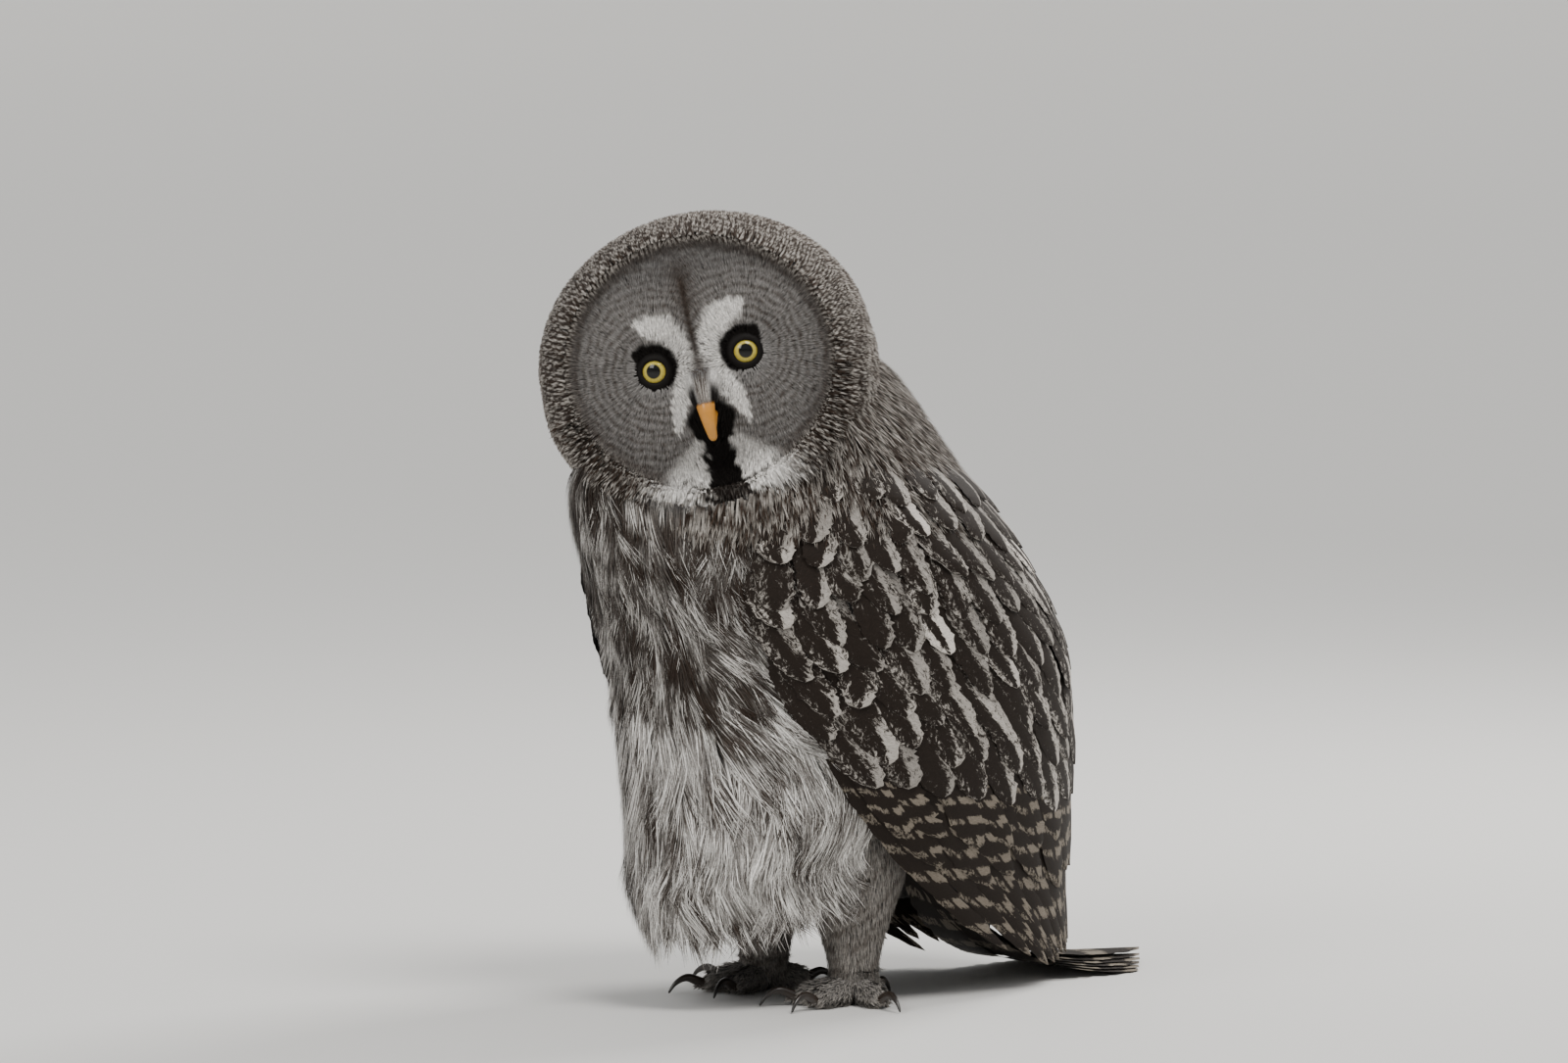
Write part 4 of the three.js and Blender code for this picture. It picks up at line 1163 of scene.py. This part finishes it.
def head_skin(t, turn, lift):
    """Face and head as one tube, from the face's middle to the nape."""
    share = np.clip(t / FACE_SHARE, 0, 1) * 0.985
    x = (DISC_HALF[0] - 2) * share * np.sin(turn)
    z = (DISC_HALF[1] - 2) * share * np.cos(turn)
    local = to_head(face(x, z, -2.0))
    reach = np.hypot(np.abs(local[..., 0]) - EYE_SPREAD, local[..., 2] - EYE_HEIGHT)
    socket = np.sqrt(np.maximum(0, (EYE_RADIUS + 1) ** 2 - reach**2)) - EYE_DEPTH
    local[..., 1] = np.where(reach < EYE_RADIUS, socket, local[..., 1])
    back_t = np.clip((t - FACE_SHARE) / (1 - FACE_SHARE), 0, 1)
    behind = head_back(back_t, turn, lift - 1.8 * (1 - smoothstep(back_t, 0.0, 0.15)))
    return np.where((t < FACE_SHARE)[..., None], from_head(local), behind)


def behind_face(points):
    """Points with those in the room before the lower face pushed back behind it."""
    local = to_head(points)
    local[:, 1] = np.where(before_face(points), -FACE_ROOM, local[:, 1])
    return from_head(local)


def skin_tint(place):
    local = to_head(place)
    tint = np.zeros((len(place), 3)) + GREY * 0.45
    tint[np.linalg.norm(local / (110, 92, 98), axis=1) < 1.05] = GREY * 1.3
    tint[(place[:, 1] < -40) & (place[:, 2] < 400)] = GREY * 1.1
    tint[place[:, 2] < 90] = GREY * 0.9
    on_face = (local[:, 1] < -45) & (np.hypot(local[:, 0] / 86, local[:, 2] / 79) < 1)
    tint[on_face] = face_tint(local[on_face, 0], local[on_face, 2]) * 0.7
    return tint


def skin():
    """One closed skin: body, head, legs and the cores of the wings, joined and smoothed."""
    around = np.linspace(0, 2 * np.pi, 48, endpoint=False)
    shapes = [(body, (62, 436, 40), around, -8.0), (head_skin, (0, 1, 60), around, -5.0)]
    for side, _ in SIDES:
        shapes.append((leg(side), (12, 160, 24), around[::2], -4.0))
        shapes.append((wing_core(side), (46, 352, 48), around, 0.0))
    points, faces, total = [], [], 0
    for surface, span, turns, lift in shapes:
        place, own = closed_tube(surface, np.linspace(*span), turns, lift)
        points.append(place if surface is head_skin else behind_face(place))
        faces += [[i + total for i in face] for face in own]
        total += len(place)
    mesh = bpy.data.meshes.new("skin")
    mesh.from_pydata((np.concatenate(points) * METRES + shift).tolist(), [], faces)
    piece = add_object("skin", mesh)
    remesh = piece.modifiers.new("join", "REMESH")
    remesh.mode = "VOXEL"
    remesh.voxel_size = 0.0035
    piece.modifiers.new("relax", "SMOOTH").iterations = 3
    evaluated = piece.evaluated_get(bpy.context.evaluated_depsgraph_get())
    final = bpy.data.meshes.new_from_object(evaluated)
    piece.modifiers.clear()
    piece.data = final
    final.materials.clear()
    final.materials.append(skin_material)
    final.polygons.foreach_set("use_smooth", np.ones(len(final.polygons), bool))
    paint(final, skin_tint(points_of(final)))
    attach(piece, "root")
    return piece


# Eyes, lids, bill and claws

PUPIL = np.full(3, 0.002)
AMBER = np.array((0.50, 0.41, 0.07))
GOLD = np.array((0.30, 0.21, 0.03))
BILL_ROOT = np.array((0.46, 0.17, 0.015))
BILL_TIP = np.array((0.47, 0.21, 0.025))
# Rings of the lids outwards from the opening: distance from the eye's axis and level
LID_REACH = np.array((8.3, 7.75, 7.7, 8.3, 9.6, 11.5, 13.5, 15.0))
LID_LEVEL = np.array((-9.2, -9.9, -10.7, -11.5, -11.6, -10.6, -8.6, -6.0))
EYE_ROWS, EYE_AROUND, LID_AROUND = 48, 64, 96
BILL_ROWS, BILL_AROUND, CLAW_ROWS, CLAW_AROUND = 40, 28, 28, 18
# Middle lines of the bill's halves from root to tip, in the head's own frame
UPPER_BILL = [(0, -52, -13), (0, -77, -16), (0, -90, -25), (0, -93, -38), (0, -88, -50)]
LOWER_BILL = [(0, -52, -31), (0, -71, -34), (0, -82, -42)]
# Each toe: degrees outwards from straight ahead, reach to its claw and the claw's length
TOES = (("inner", -20, 44, 22), ("middle", 14, 48, 22), ("outer", 78, 40, 22), ("hind", -158, 32, 19))
CLAW_HEIGHTS = (5.5, 10.5, 7.5, 0.8)


def ring_shares(rows, around):
    """For each point of a piece made of rings, its share of the length and of the turn."""
    return np.meshgrid(np.linspace(0, 1, rows), np.arange(around) / around, indexing="ij")


def ring_piece(name, points, tint, material):
    rows, around = points.shape[:2]
    patch = np.stack(ring_shares(rows, around), -1)
    return make_mesh(name, points, grid_quads(rows, around, wrap=True), material, tint, patch)


def in_socket(local, side):
    """Points about an eye's own centre, turned a little outwards and set in the head."""
    c, s = math.cos(side * EYE_OUTWARD), math.sin(side * EYE_OUTWARD)
    look = np.array(((c, -s, 0), (s, c, 0), (0, 0, 1)))
    return from_head(local @ look.T + (side * EYE_SPREAD, -EYE_DEPTH, EYE_HEIGHT))


def eye_piece(side, name):
    t, share = ring_shares(EYE_ROWS, EYE_AROUND)
    polar, turn = np.pi * t, 2 * np.pi * share
    radius = (EYE_RADIUS - 0.6) * (1 + 0.09 * np.exp(-((np.degrees(polar) / 42) ** 4)))
    out, level = radius * np.sin(polar), -radius * np.cos(polar)
    local = np.stack((out * np.cos(turn), level, out * np.sin(turn)), -1)
    rays = 0.5 + 0.5 * np.sin(turn * 31 + 3 * np.sin(turn * 7))
    iris = blend(AMBER, GOLD, 0.35 * rays + 0.45 * smoothstep(out, 6.6, 8.0))
    iris = blend(iris, AMBER * 1.1, 1 - smoothstep(out, 4.2, 5.6))
    tint = blend(PUPIL, iris, smoothstep(out, 4.3, 4.6))
    tint = blend(tint, DARK * 0.3, smoothstep(out, 8.0, 8.5))
    tint = np.where((level < 0)[..., None], tint, DARK * 0.4)
    return ring_piece(name, in_socket(local, side), tint, eye_material)


def lid_piece(side, name):
    """Dark lids: a low mound round an opening that is cut a little flat along its top."""
    turn = np.linspace(0, 2 * np.pi, LID_AROUND, endpoint=False)[:, None]
    up = np.sin(turn)
    cut = 0.13 * np.maximum(0, up) ** 1.5 + 0.04 * np.maximum(0, -up) ** 2
    out = LID_REACH * (1 - cut * np.clip((15 - LID_REACH) / 6, 0, 1))
    heavy = 0.7 * np.maximum(0, up) * np.exp(-(((LID_REACH - 9.5) / 2.5) ** 2))
    local = np.stack((out * np.cos(turn), LID_LEVEL - heavy, out * up), -1)
    rings = len(LID_REACH)
    j, last = np.arange(rings - 1), (LID_AROUND - 1) * rings
    seam = np.stack((last + j, last + j + 1, j + 1, j), -1)
    quads = np.concatenate((grid_quads(LID_AROUND, rings), seam))
    return make_mesh(name, in_socket(local, side), quads, lid_material)


def spline(points, count):
    """A smooth curve through points, evenly spaced in its parameter."""
    points = np.asarray(points, float)
    last = len(points) - 1
    t = np.linspace(0, last, count)
    k = np.clip(t.astype(int), 0, last - 1)
    f = (t - k)[:, None]
    a, b = points[np.maximum(k - 1, 0)], points[k]
    c, d = points[k + 1], points[np.minimum(k + 2, last)]
    curve = (2 * a - 5 * b + 4 * c - d) * f**2 + (3 * b - a - 3 * c + d) * f**3
    return 0.5 * (2 * b + (c - a) * f + curve)


def tube(line, sideways, wide, high, around):
    """Points of a rounded rod along a line, with its half widths and half heights."""
    along = unit(np.gradient(line, axis=0))
    side = unit(np.asarray(sideways, float) + 0 * along)[:, None]
    up = unit(np.cross(side[:, 0], along))[:, None]
    turn = np.linspace(0, 2 * np.pi, around, endpoint=False)
    right = side * (wide[:, None] * np.cos(turn))[..., None]
    return line[:, None] + right + up * (high[:, None] * np.sin(turn))[..., None]


def closing(rows, share, least=0.0):
    """1 along a rod, falling over a share of its length at the tip."""
    return np.sqrt(np.clip((1 - np.linspace(0, 1, rows)) / share, least, 1))


def upper_bill_shape(rows):
    t, shut = np.linspace(0, 1, rows), closing(rows, 0.06)
    return spline(UPPER_BILL, rows), (9 - 6.8 * t**1.3) * shut, (9 - 6.7 * t) * shut


def lower_bill_shape(rows):
    t, shut = np.linspace(0, 1, rows), closing(rows, 0.06)
    return spline(LOWER_BILL, rows), (7 - 4 * t) * shut, (3.5 - 1.7 * t) * shut


def bill_piece(name, shape, shade):
    line, wide, high = shape(BILL_ROWS)
    points = from_head(tube(line, (1, 0, 0), wide, high, BILL_AROUND))
    tint = blend(BILL_ROOT, BILL_TIP, ring_shares(BILL_ROWS, BILL_AROUND)[0]) * shade
    return ring_piece(name, points, tint, horn_material)


def claw_piece(side, name, degrees, reach, length):
    angle = math.radians(degrees)
    along = np.array((side * math.sin(angle), -math.cos(angle), 0.0))
    root = along * reach + (side * LEG_SPREAD, LEG_Y, 0)
    places = (-4, 0.35 * length, 0.75 * length, length)
    stations = [root + along * place + (0, 0, z) for place, z in zip(places, CLAW_HEIGHTS)]
    t, shut = np.linspace(0, 1, CLAW_ROWS), closing(CLAW_ROWS, 0.05, 0.02)
    wide, high = (3.4 - 2.9 * t) * shut, (3.8 - 3.2 * t) * shut
    aside = np.cross(along, (0, 0, 1))
    points = tube(spline(stations, CLAW_ROWS), aside, wide, high, CLAW_AROUND)
    points[..., 2] = np.maximum(points[..., 2], 0.1)
    tint = blend(BROWN * 0.9, DARK * 0.5, ring_shares(CLAW_ROWS, CLAW_AROUND)[0])
    return ring_piece(name, points, tint, claw_material)


# The whole bird

under = skin()
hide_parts("head", "neck", "torso", "leg_left", "leg_right", "foot_left", "foot_right")
for coats, slot in (
    ((face_coat, rim_coat, collar_coat, bristle_coat, head_coat, cape_coat), "face_feathers"),
    ((breast_coat, belly_coat, vent_coat), "breast_feathers"),
    ((leg_coat, foot_coat), "foot_feathers"),
):
    for coat in coats:
        coat()
for side, name in SIDES:
    piece = wing_piece(side, f"{name}_wing_feathers")
    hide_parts(f"wing_{name}")
    eye = eye_piece(side, f"{name}_eye")
    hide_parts(f"eye_{name}")
    lid_piece(side, f"{name}_lid")
    for toe, degrees, reach, length in TOES:
        claw = claw_piece(side, f"claw_{name}_{toe}_horn", degrees, reach, length)
        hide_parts(f"claw_{name}_{toe}")
tail = tail_piece()
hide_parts("tail")
for half, shape, shade in (("upper", upper_bill_shape, 1.0), ("lower", lower_bill_shape, 0.8)):
    bill = bill_piece(f"{half}_bill", shape, shade)
    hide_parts(f"bill_{half}")


# Floor, light and camera

# Distance from the middle and height of the floor, which rises to a far wall all round
FLOOR_PROFILE = [(0.02, 0), (20, 0), (40, 0), (50, 0.4), (56, 2.2), (59, 6), (60, 14)]
FLOOR_AROUND = 96
CAMERA_AZIMUTH, CAMERA_ELEVATION, CAMERA_DISTANCE = math.radians(50), math.radians(4), 5.0
SENSOR_WIDTH = 36
FRAME_WIDTH = 1.032  # metres across the frame at the bird
PIXELS_PER_MM = 1.55
ORIGIN_PIXEL = (835, 1015)
FRAME_CENTRE_PIXEL = (800, 542.5)
WARM = (1, 0.98, 0.95)


def floor():
    turns = [2 * math.pi * k / FLOOR_AROUND for k in range(FLOOR_AROUND)]
    points = [(r * math.cos(a), r * math.sin(a), z) for r, z in FLOOR_PROFILE for a in turns]
    quads = grid_quads(len(FLOOR_PROFILE), FLOOR_AROUND, wrap=True)[:, (0, 3, 2, 1)]
    mesh = bpy.data.meshes.new("floor")
    mesh.from_pydata(points, [], [list(range(FLOOR_AROUND)), *quads.tolist()])
    mesh.polygons.foreach_set("use_smooth", [True] * len(mesh.polygons))
    low, high = (0.60, 0.595, 0.58, 1), (0.66, 0.655, 0.64, 1)
    mesh.materials.append(mottled_material("floor", 0.8, 0.2, 3, low, high))
    add_object("floor", mesh)


level = math.cos(CAMERA_ELEVATION)
view_right = np.array((math.cos(CAMERA_AZIMUTH), math.sin(CAMERA_AZIMUTH), 0))
view_back = np.array((level * view_right[1], -level * view_right[0], math.sin(CAMERA_ELEVATION)))
view_up = np.cross(view_back, view_right)
centre_right = (FRAME_CENTRE_PIXEL[0] - ORIGIN_PIXEL[0]) / PIXELS_PER_MM * METRES
centre_up = (ORIGIN_PIXEL[1] - FRAME_CENTRE_PIXEL[1]) / PIXELS_PER_MM * METRES
target = view_right * centre_right + view_up * centre_up + shift


def camera():
    data = bpy.data.cameras.new("camera")
    data.sensor_width = SENSOR_WIDTH
    data.lens = SENSOR_WIDTH * CAMERA_DISTANCE / FRAME_WIDTH
    eye = add_object("camera", data)
    place = target + view_back * CAMERA_DISTANCE
    rows = np.stack((view_right, view_up, view_back, place), 1)
    eye.matrix_world = Matrix([*rows.tolist(), (0, 0, 0, 1)])
    bpy.context.scene.camera = eye


def area_light(name, place, aim, size, power):
    data = bpy.data.lights.new(name, "AREA")
    data.size = size
    data.energy = power
    data.color = WARM
    light = add_object(name, data)
    light.location = place
    light.rotation_euler = (aim - place).to_track_quat("-Z", "Y").to_euler()


def lights():
    aim, up = Vector((0, 0, 0.3)), Vector((0, 0, 1))
    side, ahead = Vector(view_right), Vector(view_back)
    sun = bpy.data.lights.new("sky_light", "SUN")
    sun.energy = 2.2
    sun.angle = math.radians(25)
    sun.color = (1, 0.975, 0.94)
    source = add_object("sky_light", sun)
    source.rotation_euler = (side * 0.35 + ahead * 0.55 + up).to_track_quat("Z", "Y").to_euler()
    area_light("key", -side * 1.5 + ahead * 2.0 + up * 1.6, aim, 1.2, 34)
    area_light("rim", side * 1.3 - ahead * 1.3 + up * 2.0, aim, 0.9, 60)
    world = bpy.data.worlds.new("studio")
    world.use_nodes = True
    background = world.node_tree.nodes["Background"]
    background.inputs["Color"].default_value = (0.93, 0.94, 0.95, 1)
    background.inputs["Strength"].default_value = 0.6
    bpy.context.scene.world = world


floor()
camera()
lights()
